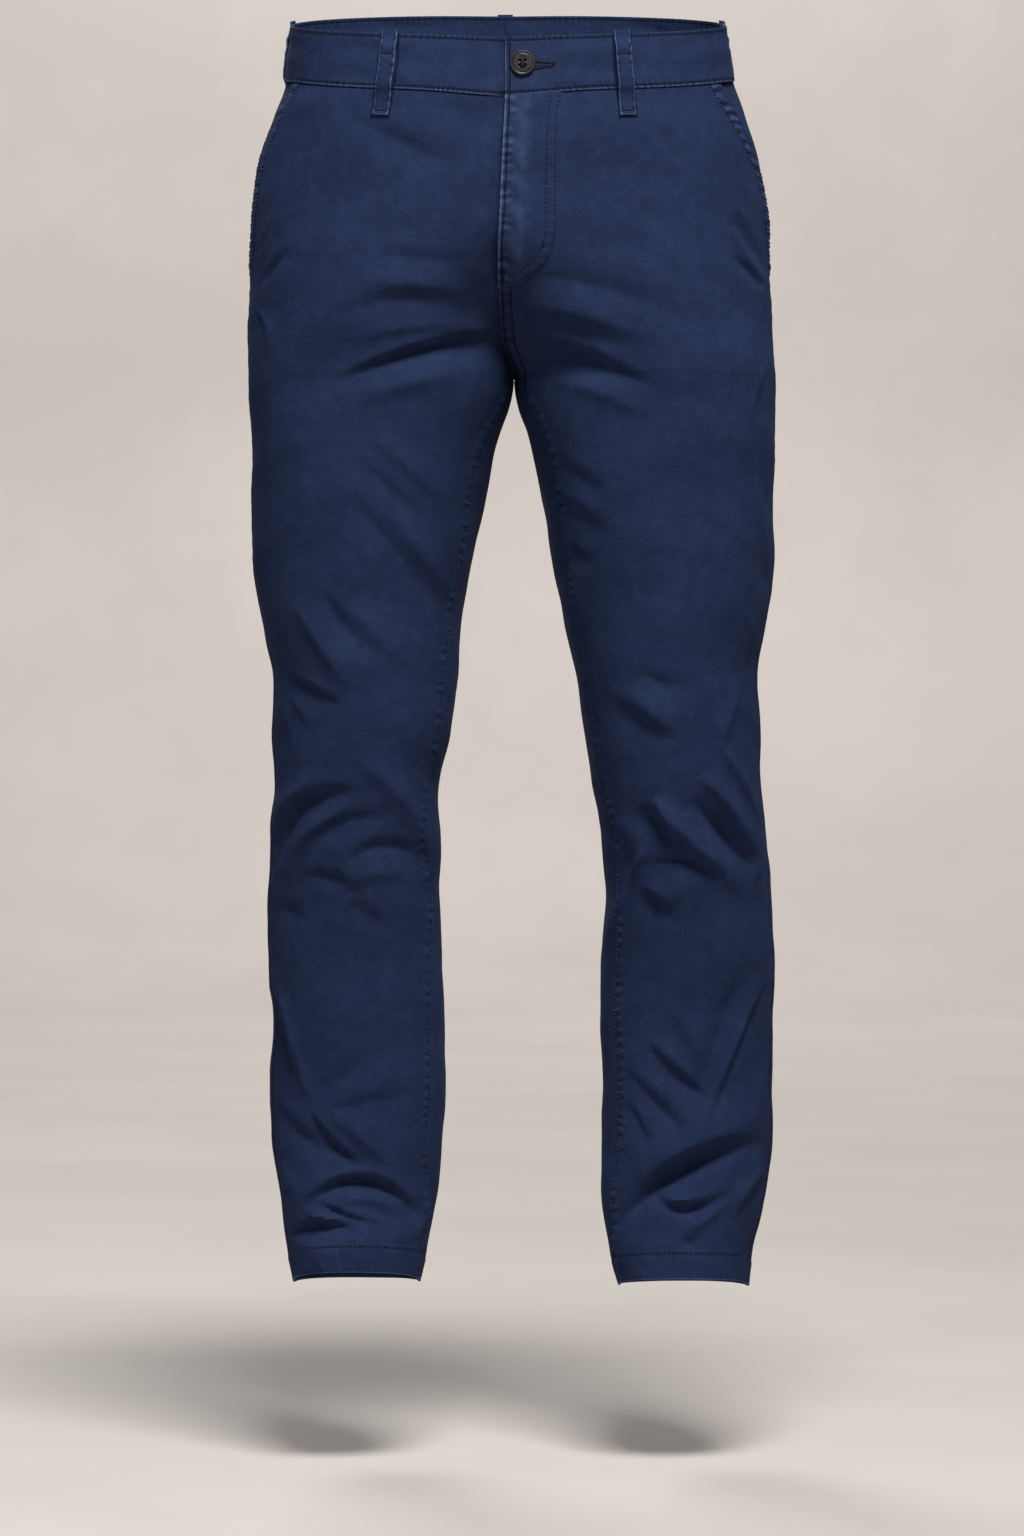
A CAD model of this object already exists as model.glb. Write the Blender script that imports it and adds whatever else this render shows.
"""The looks of a pair of worn chino trousers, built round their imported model.

The cloth's sizes are worked out in millimetres, and every mesh gets them in metres. The front faces -Y,
and "right" and "left" are the wearer's own, so the right leg lies at -X.
"""

from __future__ import annotations

import logging
import math
from collections.abc import Callable
from dataclasses import dataclass, field
from enum import Enum
from typing import NamedTuple

import bpy
import numpy as np
from mathutils import Matrix, Vector

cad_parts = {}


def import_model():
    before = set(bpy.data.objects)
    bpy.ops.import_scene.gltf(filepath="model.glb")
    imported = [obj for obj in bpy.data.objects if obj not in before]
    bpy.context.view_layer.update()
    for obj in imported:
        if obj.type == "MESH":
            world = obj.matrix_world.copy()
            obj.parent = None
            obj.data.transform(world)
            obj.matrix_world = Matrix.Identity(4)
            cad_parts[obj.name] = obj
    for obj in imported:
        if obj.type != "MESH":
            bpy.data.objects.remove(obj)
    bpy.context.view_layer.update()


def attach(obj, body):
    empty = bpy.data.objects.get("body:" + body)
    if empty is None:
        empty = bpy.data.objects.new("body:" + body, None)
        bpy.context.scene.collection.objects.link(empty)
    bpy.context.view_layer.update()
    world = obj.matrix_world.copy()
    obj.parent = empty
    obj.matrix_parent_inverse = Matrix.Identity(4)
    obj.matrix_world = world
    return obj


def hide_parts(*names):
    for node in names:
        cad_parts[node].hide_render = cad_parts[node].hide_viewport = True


logging.basicConfig(level=logging.INFO, format="%(message)s")
log = logging.getLogger("trousers")

Array = np.ndarray
MM = 0.001


class Section(NamedTuple):
    """One level cross-section: reaches of each leg from the middle, and places along Y."""

    z: float
    right_outer: float
    right_inner: float
    left_outer: float
    left_inner: float
    front: float
    back: float
    widest: float


SECTIONS = (
    Section(30, 176.4, -1.6, 170.5, 1.6, -104, 108, 0),
    Section(0, 176.4, -1.6, 170.5, 1.6, -104, 108, 0),
    Section(-45, 181.0, -1.6, 177.0, 1.6, -108, 114, 2),
    Section(-75, 191.5, -1.6, 187.0, 1.6, -112, 122, 4),
    Section(-115, 202.0, -1.6, 198.0, 1.6, -115, 131, 6),
    Section(-165, 209.0, -1.6, 205.5, 1.6, -114, 137, 6),
    Section(-230, 210.3, -1.6, 208.3, 1.6, -107, 126, 0),
    Section(-284, 209.6, -1.6, 209.0, 1.6, -99, 104, -12),
    Section(-340, 209.0, 12.4, 210.4, 14.2, -96, 90, -6),
    Section(-400, 208.3, 26.0, 210.0, 27.0, -92, 80, -2),
    Section(-450, 205.6, 35.2, 208.0, 36.8, -88, 74, 0),
    Section(-490, 199.0, 40.0, 202.0, 45.0, -85, 70, 0),
    Section(-520, 192.8, 43.0, 198.0, 51.0, -83, 68, 0),
    Section(-565, 192.0, 48.6, 198.8, 58.3, -80, 66, 0),
    Section(-605, 190.4, 56.2, 200.0, 66.0, -77, 65, -2),
    Section(-640, 193.4, 57.8, 203.8, 72.0, -71, 66, -2),
    Section(-690, 195.0, 58.0, 207.3, 74.8, -62, 68, 2),
    Section(-770, 193.8, 53.8, 209.6, 71.4, -53, 67, 8),
    Section(-860, 192.6, 53.7, 207.8, 71.2, -47, 62, 8),
    Section(-905, 188.0, 55.8, 206.0, 71.2, -47, 61, 6),
    Section(-945, 183.0, 60.6, 200.0, 72.6, -51, 60, 4),
    Section(-975, 180.0, 67.5, 192.8, 76.4, -57, 60, 1),
    Section(-1010, 173.0, 74.0, 187.5, 84.0, -63, 60, -2),
)


class Centre(NamedTuple):
    """Where the centre front line runs, off the middle."""

    z: float
    x: float


CENTRE_LINE = (
    Centre(30, -5.5),
    Centre(-72, -5.5),
    Centre(-105, -7.0),
    Centre(-150, -9.0),
    Centre(-195, -10.2),
    Centre(-228, -9.5),
    Centre(-258, -7.0),
    Centre(-284, 1.6),
    Centre(-1010, 1.6),
)


class SideSeam(NamedTuple):
    """The side seam as an angle round the leg: 0 at its outer side, 90 in front, 180 at its inner side."""

    z: float
    angle: float


SIDE_SEAM = (
    SideSeam(0, -9),
    SideSeam(-45, -8),
    SideSeam(-198, 4),
    SideSeam(-284, 7.5),
    SideSeam(-330, 9),
    SideSeam(-400, 10.5),
    SideSeam(-600, 14),
    SideSeam(-1010, 16),
)


class Inseam(NamedTuple):
    """How far the inseam lies from the middle on each leg's front."""

    z: float
    right: float
    left: float


INSEAMS = (
    Inseam(-284, -1.6, 1.6),
    Inseam(-312, 11.0, 18.0),
    Inseam(-344, 25.0, 29.5),
    Inseam(-385, 33.0, 34.5),
    Inseam(-424, 39.0, 41.0),
    Inseam(-463, 46.0, 45.5),
    Inseam(-502, 51.0, 51.5),
    Inseam(-541, 56.0, 59.0),
    Inseam(-580, 60.0, 66.5),
    Inseam(-619, 66.0, 74.5),
    Inseam(-648, 69.5, 80.0),
    Inseam(-697, 63.5, 83.0),
    Inseam(-775, 63.0, 81.5),
    Inseam(-853, 64.5, 84.0),
    Inseam(-892, 66.0, 82.5),
    Inseam(-931, 64.0, 78.5),
    Inseam(-970, 69.0, 79.0),
    Inseam(-1010, 75.0, 86.0),
)


class Slant(NamedTuple):
    """The slanted pocket edge, as the angle of the front panel's edge on each side."""

    z: float
    right: float
    left: float


POCKET_EDGE = (
    Slant(-15, 26.0, 31.5),
    Slant(-45, 20.4, 25.7),
    Slant(-63, 16.4, 22.2),
    Slant(-84, 12.8, 18.3),
    Slant(-110, 9.3, 12.7),
    Slant(-133, 7.5, 8.1),
    Slant(-156, 6.8, 6.6),
    Slant(-198, 4.0, 4.0),
)


class Fold(NamedTuple):
    """A fold's line from start by middle to end, its half width, how far it stands out, and its lean.

    A fold with a lean above 0 is gentler above its line than below it. Ridges lean so and troughs the
    other way, each a little more than its row says.
    """

    x1: float
    z1: float
    x2: float
    z2: float
    x3: float
    z3: float
    half: float
    height: float
    lean: float = 0.0


FRONT_FOLDS = (
    # Right hip and fork
    Fold(-128, -86, -82, -110, -33, -137, 15, -1.7),
    Fold(-104, -195, -66, -199, -29, -201, 10, -0.9),
    Fold(-120, -215, -72, -219, -30, -222, 11, 1.0),
    Fold(-140, -243, -84, -231, -23, -243, 13, -1.6),
    Fold(-126, -262, -72, -250, -21, -250, 11, 1.5),
    Fold(-136, -292, -70, -268, -8, -256, 8, -4.6, -0.25),
    Fold(-120, -308, -72, -292, -40, -288, 13, 1.8),
    Fold(-200, -199, -190, -176, -172, -155, 5, 1.6),
    Fold(-199, -186, -188, -170, -176, -150, 4, -1.6),
    Fold(-198, -214, -188, -199, -174, -188, 4, -1.8),
    Fold(-202, -232, -194, -246, -192, -270, 3, 1.2),
    Fold(-10, -72, -13, -150, -16, -226, 7, -2.4),
    # Right thigh
    Fold(-112, -332, -80, -360, -47, -389, 10, 1.3),
    Fold(-125, -350, -91, -381, -56, -412, 9, -1.2),
    Fold(-99, -389, -72, -426, -47, -465, 9, 1.4),
    Fold(-130, -379, -94, -420, -59, -468, 10, -1.4),
    Fold(-151, -454, -133, -482, -111, -506, 12, -2.3),
    Fold(-172, -463, -150, -498, -125, -535, 13, 2.3, 0.2),
    Fold(-125, -463, -103, -494, -72, -519, 10, 1.2),
    Fold(-179, -520, -156, -533, -133, -546, 6, -2.2, -0.3),
    Fold(-176, -533, -168, -548, -158, -560, 4, 0.9),
    Fold(-184, -520, -180, -550, -172, -584, 5, 0.9),
    # Right knee
    Fold(-158, -596, -173, -623, -187, -652, 5, 2.1),
    Fold(-187, -672, -172, -625, -117, -614, 10, -5.3, -0.25),
    Fold(-125, -589, -87, -619, -59, -683, 12, 3.0, -0.2),
    Fold(-179, -680, -158, -645, -125, -628, 8, 1.9),
    Fold(-173, -667, -141, -638, -98, -634, 9, -2.5, -0.2),
    Fold(-134, -675, -101, -654, -66, -672, 10, -2.7, -0.1),
    Fold(-136, -690, -104, -676, -78, -684, 12, 1.5),
    Fold(-166, -682, -142, -678, -124, -694, 6, -2.1),
    Fold(-130, -701, -112, -711, -94, -727, 12, -1.5),
    Fold(-186, -700, -176, -706, -162, -716, 8, -1.5),
    # Right shin and hem
    Fold(-188, -752, -176, -806, -157, -864, 5, 2.5, -0.3),
    Fold(-190, -771, -184, -802, -172, -841, 10, -3.2),
    Fold(-186, -862, -167, -884, -144, -903, 9, -2.5),
    Fold(-160, -866, -142, -890, -119, -909, 6, -3.6, -0.3),
    Fold(-148, -862, -117, -888, -83, -917, 12, 2.1),
    Fold(-148, -869, -117, -859, -76, -853, 10, -1.5),
    Fold(-152, -850, -128, -836, -104, -808, 12, -1.1),
    Fold(-180, -908, -176, -920, -170, -934, 4, 1.3),
    Fold(-166, -942, -117, -919, -70, -953, 9, -6.6, -0.3),
    Fold(-151, -943, -114, -934, -81, -948, 8, 2.7),
    Fold(-153, -937, -130, -947, -101, -955, 5, -2.7, -0.3),
    Fold(-164, -942, -148, -950, -125, -951, 4, 1.9),
    Fold(-176, -965, -154, -954, -123, -958, 6, -4.6, -0.3),
    Fold(-66, -935, -69, -953, -78, -970, 5, 1.7),
    # Left hip and fork
    Fold(10, -212, 69, -221, 139, -243, 14, -1.6),
    Fold(14, -233, 61, -243, 124, -268, 12, 1.5),
    Fold(6, -240, 40, -252, 96, -268, 8, -1.3),
    Fold(2, -258, 52, -272, 112, -300, 9, -4.4, -0.2),
    Fold(30, -290, 69, -301, 112, -320, 13, 1.8),
    Fold(176, -157, 187, -178, 200, -204, 5, -2.2),
    Fold(176, -192, 187, -202, 200, -215, 4, -2.0),
    Fold(168, -170, 182, -188, 195, -212, 5, 1.6),
    Fold(201, -273, 192, -299, 190, -320, 3, 1.2),
    # Left thigh
    Fold(37, -350, 55, -368, 73, -379, 9, -1.4),
    Fold(34, -379, 51, -396, 73, -410, 9, -1.7),
    Fold(43, -419, 52, -428, 61, -437, 6, -1.0),
    Fold(190, -362, 197, -401, 203, -444, 5, 1.6),
    Fold(201, -451, 191, -482, 186, -516, 5, 1.6),
    Fold(176, -369, 178, -432, 184, -502, 12, 1.0),
    Fold(90, -532, 109, -550, 133, -568, 9, 1.3),
    Fold(101, -516, 115, -527, 139, -533, 8, -1.2),
    Fold(72, -534, 98, -556, 126, -574, 10, -2.4, -0.2),
    Fold(178, -532, 172, -555, 163, -577, 5, 1.4),
    # Left knee
    Fold(163, -575, 179, -602, 200, -644, 6, 2.7),
    Fold(145, -601, 174, -630, 200, -685, 8, 3.4),
    Fold(143, -618, 168, -648, 195, -674, 9, -4.8, 0.2),
    Fold(109, -621, 139, -650, 193, -701, 10, 3.2),
    Fold(103, -622, 112, -636, 123, -656, 8, -4.4),
    Fold(112, -616, 121, -634, 129, -654, 6, 2.3),
    Fold(106, -672, 139, -667, 168, -683, 6, -3.0),
    Fold(106, -684, 116, -694, 126, -703, 8, 1.7),
    Fold(72, -636, 88, -658, 94, -701, 10, -2.1),
    Fold(110, -657, 98, -672, 88, -698, 5, 1.7),
    Fold(92, -690, 82, -712, 74, -736, 6, 1.5),
    Fold(100, -691, 115, -703, 131, -720, 9, -1.9),
    # Left shin and hem
    Fold(201, -760, 179, -810, 144, -898, 5, 2.5, 0.3),
    Fold(188, -744, 164, -806, 136, -880, 12, -1.5),
    Fold(106, -812, 131, -836, 156, -858, 8, -3.0, -0.3),
    Fold(122, -779, 147, -814, 164, -850, 12, 1.7),
    Fold(90, -834, 117, -862, 140, -887, 9, -2.7),
    Fold(92, -858, 100, -876, 111, -896, 6, -1.7),
    Fold(200, -820, 198, -850, 191, -880, 5, 1.7),
    Fold(100, -923, 139, -894, 193, -878, 12, 2.7),
    Fold(78, -962, 131, -914, 201, -892, 8, -6.6, 0.3),
    Fold(118, -929, 115, -936, 112, -944, 4, -1.5),
    Fold(117, -935, 140, -943, 175, -929, 5, -3.0),
    Fold(115, -929, 137, -935, 168, -923, 5, 1.9),
    Fold(200, -912, 187, -928, 174, -950, 5, 2.3),
    Fold(175, -933, 151, -951, 131, -962, 8, 2.1),
    Fold(134, -964, 140, -967, 148, -970, 5, -1.3),
)

BACK_FOLDS = (
    # Right seat, knee pit and hem
    Fold(-30, -92, -74, -120, -118, -132, 9, -1.4),
    Fold(-40, -252, -95, -275, -168, -282, 9, -3.4, -0.2),
    Fold(-34, -276, -90, -296, -164, -300, 9, 2.0),
    Fold(-28, -302, -92, -332, -168, -324, 8, -5.2, -0.3),
    Fold(-46, -330, -100, -356, -170, -356, 9, 2.4),
    Fold(-60, -366, -90, -392, -128, -404, 7, -2.0),
    Fold(-60, -430, -104, -462, -168, -470, 9, 2.2),
    Fold(-66, -470, -112, -494, -172, -500, 8, -1.8),
    Fold(-62, -560, -96, -580, -140, -584, 7, 1.8),
    Fold(-62, -598, -112, -622, -184, -606, 7, -5.4, -0.3),
    Fold(-64, -620, -122, -636, -186, -628, 7, 3.4),
    Fold(-76, -640, -122, -652, -160, -646, 4, -2.4),
    Fold(-68, -664, -122, -648, -188, -674, 7, -5.8, 0.3),
    Fold(-80, -684, -128, -676, -180, -696, 7, 2.6),
    Fold(-92, -712, -126, -722, -168, -742, 7, -2.2),
    Fold(-80, -782, -120, -818, -164, -872, 8, -3.0),
    Fold(-92, -770, -132, -802, -172, -850, 8, 1.8),
    Fold(-76, -872, -112, -880, -150, -906, 6, -3.0),
    Fold(-74, -908, -112, -892, -168, -902, 7, 2.4),
    Fold(-75, -930, -126, -906, -182, -934, 7, -6.2, -0.3),
    Fold(-88, -944, -130, -932, -170, -950, 5, 2.6),
    Fold(-86, -970, -132, -952, -176, -966, 5, -3.8),
    # Left seat, knee pit and hem
    Fold(34, -96, 80, -116, 120, -138, 9, -1.2),
    Fold(36, -248, 100, -268, 172, -276, 9, -3.0, -0.2),
    Fold(30, -280, 92, -302, 166, -310, 9, 1.8),
    Fold(30, -308, 86, -338, 162, -336, 8, -5.6, -0.3),
    Fold(48, -338, 100, -366, 168, -370, 9, 2.6),
    Fold(56, -398, 100, -424, 146, -430, 7, -2.2),
    Fold(64, -442, 112, -456, 172, -482, 9, 2.2),
    Fold(70, -486, 120, -504, 180, -520, 8, -1.6),
    Fold(74, -570, 112, -588, 150, -596, 7, 1.8),
    Fold(78, -606, 132, -634, 198, -616, 7, -5.8, -0.3),
    Fold(82, -632, 140, -650, 200, -640, 7, 3.2),
    Fold(84, -680, 138, -664, 202, -694, 7, -5.2, 0.3),
    Fold(98, -700, 140, -692, 192, -712, 7, 2.2),
    Fold(96, -730, 130, -742, 170, -760, 7, -2.0),
    Fold(96, -800, 140, -826, 186, -868, 8, -3.2),
    Fold(110, -788, 150, -812, 192, -850, 8, 1.8),
    Fold(86, -876, 124, -866, 168, -884, 6, -2.6),
    Fold(84, -918, 138, -896, 200, -924, 7, -6.0, -0.3),
    Fold(94, -934, 140, -918, 186, -938, 5, 2.6),
    Fold(92, -962, 140, -944, 190, -960, 5, -3.6),
)


class Stitch(NamedTuple):
    """A point of a stitch line on the fly, as a reach from the middle."""

    z: float
    x: float


OUTER_J = (
    Stitch(-71, 36.9),
    Stitch(-93, 33.9),
    Stitch(-133, 33.2),
    Stitch(-177, 33.2),
    Stitch(-190, 31.7),
    Stitch(-200, 26.5),
    Stitch(-209, 18.4),
    Stitch(-213, 9.5),
    Stitch(-216.5, 0.5),
)
INNER_J = (
    Stitch(-71, 29.6),
    Stitch(-98, 27.3),
    Stitch(-138, 26.2),
    Stitch(-175, 26.2),
    Stitch(-189, 24.2),
    Stitch(-199, 18.5),
    Stitch(-206, 9.4),
    Stitch(-210, 0.5),
)


@dataclass(frozen=True)
class Sizes:
    """Driving sizes of the garment, in millimetres and degrees."""

    wall: float = 1.1
    hem_depth: float = 20.0
    hem_extra: float = 0.9
    band_height: float = 45.0
    band_out: float = 0.9
    band_wall: float = 2.3
    waist_tilt: float = 0.24
    crotch_z: float = -284.0
    hem_z: float = -1005.0
    pocket_end_z: float = -198.0
    rise_front_z: float = -150.0
    rise_back_z: float = -100.0
    roundness: float = 2.2
    fork_ease: float = 1.35
    fly_end_z: float = -217.0
    stitch: float = 3.5
    thread: float = 0.75


@dataclass(frozen=True)
class FoldShape:
    """How a row of a fold table becomes relief: a crest, with a shallow dip on both sides of it."""

    steps: int = 17
    room: float = 7.0
    own_lean: float = 0.3
    lean_effect: float = 1.5
    half_at_start: float = 0.75
    half_gained: float = 0.5
    sharpness: float = 1.5
    dip: float = 0.34
    dip_width: float = 2.6
    gain: float = 2.45
    gain_power: float = 0.9
    end_power: float = 0.9


SIZE = Sizes()
FOLD = FoldShape()
FAR = 99.0
PLAIN_MARKS = {"ladder": 0.0, "rubbed": 0.0, "run": 0.0, "edge": FAR, "sewn": FAR, "hemmed": FAR}
RISE_EASE = 0.12
DEGREE = math.pi / 180
SLOPE_Z = 0.5
SLOPE_ANGLE = 0.25
TURNS = 5


class Spline:
    """A smooth curve through rows of numbers, with no overshoot between them."""

    def __init__(self, rows: tuple, column: str) -> None:
        """Works out the tangents.

        Args:
            rows: Rows with a z and the named column.
            column: The column that the curve follows.
        """
        points = sorted((row.z, getattr(row, column)) for row in rows)
        self.z = np.array([p[0] for p in points], float)
        self.value = np.array([p[1] for p in points], float)
        slopes = np.diff(self.value) / np.diff(self.z)
        before, after = slopes[:-1], slopes[1:]
        with np.errstate(divide="ignore", invalid="ignore"):
            middle = np.where(before * after <= 0, 0.0, 2 * before * after / (before + after))
        self.tangent = np.concatenate([slopes[:1], middle, slopes[-1:]])

    def __call__(self, z: Array | float) -> Array:
        """The curve's value at z, held level past both ends."""
        z = np.clip(np.asarray(z, float), self.z[0], self.z[-1])
        i = np.clip(np.searchsorted(self.z, z, side="right") - 1, 0, len(self.z) - 2)
        span = self.z[i + 1] - self.z[i]
        t = (z - self.z[i]) / span
        t2, t3 = t * t, t * t * t
        return (
            (2 * t3 - 3 * t2 + 1) * self.value[i]
            + (t3 - 2 * t2 + t) * span * self.tangent[i]
            + (3 * t2 - 2 * t3) * self.value[i + 1]
            + (t3 - t2) * span * self.tangent[i + 1]
        )


def smooth(start: float, end: float, value: Array | float) -> Array:
    """Goes softly from 0 at start to 1 at end."""
    share = np.clip((np.asarray(value, float) - start) / (end - start), 0, 1)
    return share * share * (3 - 2 * share)


def bell(value: Array | float, width: float) -> Array:
    """A soft hump: 1 where the value is 0, falling away on both sides over the width."""
    return np.exp(-((value / width) ** 2))


def run_along(points: Array) -> Array:
    """Distances along a line of points, from 0 at its start."""
    return np.concatenate([[0], np.linalg.norm(np.diff(points, axis=0), axis=-1).cumsum()])


def sample(at: Array, run: Array, rows: Array) -> Array:
    """Rows of numbers, read off at places along a line."""
    return np.stack([np.interp(at, run, rows[:, k]) for k in range(rows.shape[1])], -1)


def raised(points: Array, normals: Array, out: Array) -> Array:
    """Points moved out along their normals."""
    return points + normals * out[..., None]


def ripple(run: Array, pitch: float, seed: float) -> Array:
    """An uneven wave along a seam.

    Args:
        run: Distance along the seam.
        pitch: Its usual length of wave.
        seed: Sets where it is uneven.

    Returns:
        Heights from about -1 to 1.
    """
    bent = 1.5 * np.sin(run / 19 + seed) + 0.9 * np.sin(run / 43 + 2 * seed)
    strength = 0.72 + 0.28 * np.sin(run / 31 + 3 * seed)
    return strength * np.sin(2 * math.pi * run / pitch + bent)


class Face(Enum):
    """Which half of a leg."""

    FRONT = "front"
    BACK = "back"


@dataclass
class Leg:
    """A leg and its half of the hips, measured from the centre line."""

    name: str
    sign: int
    hem_corner: float
    hem_rise: float
    centre: Spline = field(default_factory=lambda: Spline(CENTRE_LINE, "x"))

    def __post_init__(self) -> None:
        """Makes the curves of this leg's own columns."""
        self.outer_x = Spline(SECTIONS, f"{self.name}_outer")
        self.inner_x = Spline(SECTIONS, f"{self.name}_inner")
        self.pocket = Spline(POCKET_EDGE, self.name)
        self.inseam_x = Spline(INSEAMS, self.name)
        self.fork_reach = float(self.outer(SIZE.crotch_z)) / 2

    def outer(self, z: Array | float) -> Array:
        """The outer side's reach from the centre line."""
        return self.outer_x(z) - self.sign * self.centre(z)

    def inner(self, z: Array | float) -> Array:
        """The inner side's reach from the centre line."""
        return self.inner_x(z) - self.sign * self.centre(z)

    def inseam(self, z: Array | float) -> Array:
        """The inseam's reach from the centre line."""
        return self.inseam_x(z) - self.sign * self.centre(z)


LEGS = {"right": Leg("right", -1, -1005, 14), "left": Leg("left", 1, -1008, 12)}


class Form:
    """The garment's worn form: its cloth as a surface of height and angle round each leg."""

    def __init__(self) -> None:
        """Makes the curves that both legs share."""
        self.front = Spline(SECTIONS, "front")
        self.back = Spline(SECTIONS, "back")
        self.widest = Spline(SECTIONS, "widest")
        self.side_seam = Spline(SIDE_SEAM, "angle")

    def ring(self, leg: Leg, z: Array, in_front: Array) -> tuple[Array, Array, Array]:
        """The middle of a leg's ring, and how far it reaches outwards and inwards.

        Args:
            leg: The leg.
            z: Heights.
            in_front: Whether each place lies in the front half.

        Returns:
            The middle, the outward reach and the inward reach.
        """
        start = np.where(in_front, SIZE.rise_front_z, SIZE.rise_back_z)
        down = np.clip((start - z) / (start - SIZE.crotch_z), -RISE_EASE, 1)
        down = np.where(down < RISE_EASE, (down + RISE_EASE) ** 2 / (4 * RISE_EASE), down)
        share = 1 - (1 - down) ** SIZE.fork_ease
        outer, inner = leg.outer(z), leg.inner(z)
        above = z >= SIZE.crotch_z
        middle = np.where(above, leg.fork_reach * share, (inner + outer) / 2)
        return middle, outer - middle, np.where(above, leg.fork_reach, middle - inner)

    def base(self, leg: Leg, z: Array, angle: Array) -> Array:
        """Points of the cloth without its folds, for arrays of heights and angles."""
        z, angle = np.broadcast_arrays(np.asarray(z, float), np.asarray(angle, float))
        cos, sin = np.cos(angle * DEGREE), np.sin(angle * DEGREE)
        in_front = sin >= 0
        middle, out, inwards = self.ring(leg, z, in_front)
        shape = 2 / SIZE.roundness
        bulge = np.abs(cos) ** shape
        reach = middle + np.where(cos >= 0, out * bulge, -inwards * bulge)
        widest = self.widest(z)
        depth = np.where(in_front, self.front(z), self.back(z)) - widest
        y = widest + depth * np.abs(sin) ** shape
        x = leg.centre(z) + leg.sign * reach
        return np.stack([x, y, z], axis=-1)

    def angle_at(self, leg: Leg, z: Array | float, reach: Array | float, face: Face) -> Array:
        """The angle at which a leg's front or back has a given reach from the centre line."""
        z, reach = np.broadcast_arrays(np.asarray(z, float), np.asarray(reach, float))
        middle, out, inwards = self.ring(leg, z, np.full(z.shape, face is Face.FRONT))
        power = SIZE.roundness / 2
        outside = np.arccos(np.clip((reach - middle) / out, 0, 1) ** power) / DEGREE
        inside = 180 - np.arccos(np.clip((middle - reach) / inwards, 0, 1) ** power) / DEGREE
        angle = np.where(reach >= middle, outside, inside)
        return angle if face is Face.FRONT else -angle

    @staticmethod
    def normal(surface: Callable, leg: Leg, z: Array, angle: Array) -> Array:
        """Outward normals of a surface of height and angle."""
        along = surface(leg, z + SLOPE_Z, angle) - surface(leg, z - SLOPE_Z, angle)
        round_it = surface(leg, z, angle + SLOPE_ANGLE) - surface(leg, z, angle - SLOPE_ANGLE)
        cross = np.cross(round_it, along) * -leg.sign
        return cross / np.maximum(np.linalg.norm(cross, axis=-1, keepdims=True), 1e-9)

    @staticmethod
    def fold_height(points: Array, facing: Array, folds: tuple[Fold, ...]) -> Array:
        """How far a set of folds moves the cloth out.

        Args:
            points: Places on the cloth.
            facing: How squarely each place faces the folds' own side, from -1 to 1.
            folds: The folds.

        Returns:
            Heights in millimetres.
        """
        x, z = points[..., 0].ravel(), points[..., 2].ravel()
        weight = smooth(-0.5, 0.3, facing.ravel())
        height = np.zeros_like(x)
        steps = np.linspace(0, 1, FOLD.steps)
        shares = np.stack([(1 - steps) * (1 - 2 * steps), 4 * steps * (1 - steps), steps * (2 * steps - 1)])
        for fold in folds:
            line = shares.T @ np.array([[fold.x1, fold.z1], [fold.x2, fold.z2], [fold.x3, fold.z3]])
            room = FOLD.room * fold.half
            low, high = line.min(0) - room, line.max(0) + room
            near = np.flatnonzero((x > low[0]) & (x < high[0]) & (z > low[1]) & (z < high[1]) & (weight > 0))
            if not near.size:
                continue
            start, step = line[:-1], np.diff(line, axis=0)
            away = np.stack([x[near], z[near]], -1)[:, None] - start
            along = np.clip((away * step).sum(-1) / (step * step).sum(-1), 0, 1)
            gap = away - along[..., None] * step
            distance = np.hypot(gap[..., 0], gap[..., 1])
            best = distance.argmin(1)
            pick = (np.arange(near.size), best)
            above = np.sign(step[best, 0] * gap[pick][:, 1] - step[best, 1] * gap[pick][:, 0])
            above = above * math.copysign(1, fold.x3 - fold.x1)
            share = (best + along[pick]) / len(step)
            lean = fold.lean + math.copysign(FOLD.own_lean, fold.height)
            half = fold.half * np.exp(FOLD.lean_effect * lean * above)
            across = distance[pick] / (half * (FOLD.half_at_start + FOLD.half_gained * share))
            profile = np.exp(-(across**FOLD.sharpness)) - FOLD.dip * bell(across, FOLD.dip_width)
            depth = FOLD.gain * math.copysign(abs(fold.height) ** FOLD.gain_power, fold.height)
            ends = np.sin(math.pi * np.clip(share, 0, 1)) ** FOLD.end_power
            height[near] += depth * weight[near] * ends * profile
        return height.reshape(points.shape[:-1])

    def arc(self, leg: Leg, z: Array, angle: Array) -> Array:
        """Millimetres of cloth for each degree round a leg."""
        step = self.base(leg, z, angle + 0.5) - self.base(leg, z, angle - 0.5)
        return np.linalg.norm(step, axis=-1)

    def inseam_angle(self, leg: Leg, z: Array) -> Array:
        """The inseam's angle, 180 at the crotch."""
        found = self.angle_at(leg, z, leg.inseam(z), Face.FRONT)
        return np.where(z >= SIZE.crotch_z, 180.0, np.minimum(found, 180.0))

    def hem(self, leg: Leg, angle: Array) -> Array:
        """The height of the hem's edge, higher in front where it breaks over the foot."""
        sin = np.sin(angle * DEGREE)
        return leg.hem_corner + np.where(sin >= 0, leg.hem_rise * np.abs(sin) ** 0.8, 3 * sin)

    def tilted(self, leg: Leg, angle: Array, height: Array | float) -> Array:
        """Heights on the tilted waist, from heights above its top edge at the side seams."""
        angle = np.asarray(angle, float)
        z = np.broadcast_to(np.asarray(height, float), angle.shape).copy()
        down = np.clip(-np.asarray(height, float) / SIZE.band_height, 0, 1)
        for _ in range(TURNS):
            points = self.base(leg, z, angle)
            sag = bell(points[..., 0] - leg.centre(z), 45)
            lift = (1 - sag) * smooth(10, -50, points[..., 1]) * (1.0 + 2.6 * down) - 0.8 * sag
            z = height + SIZE.waist_tilt * points[..., 1] + lift
        return z

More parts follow.
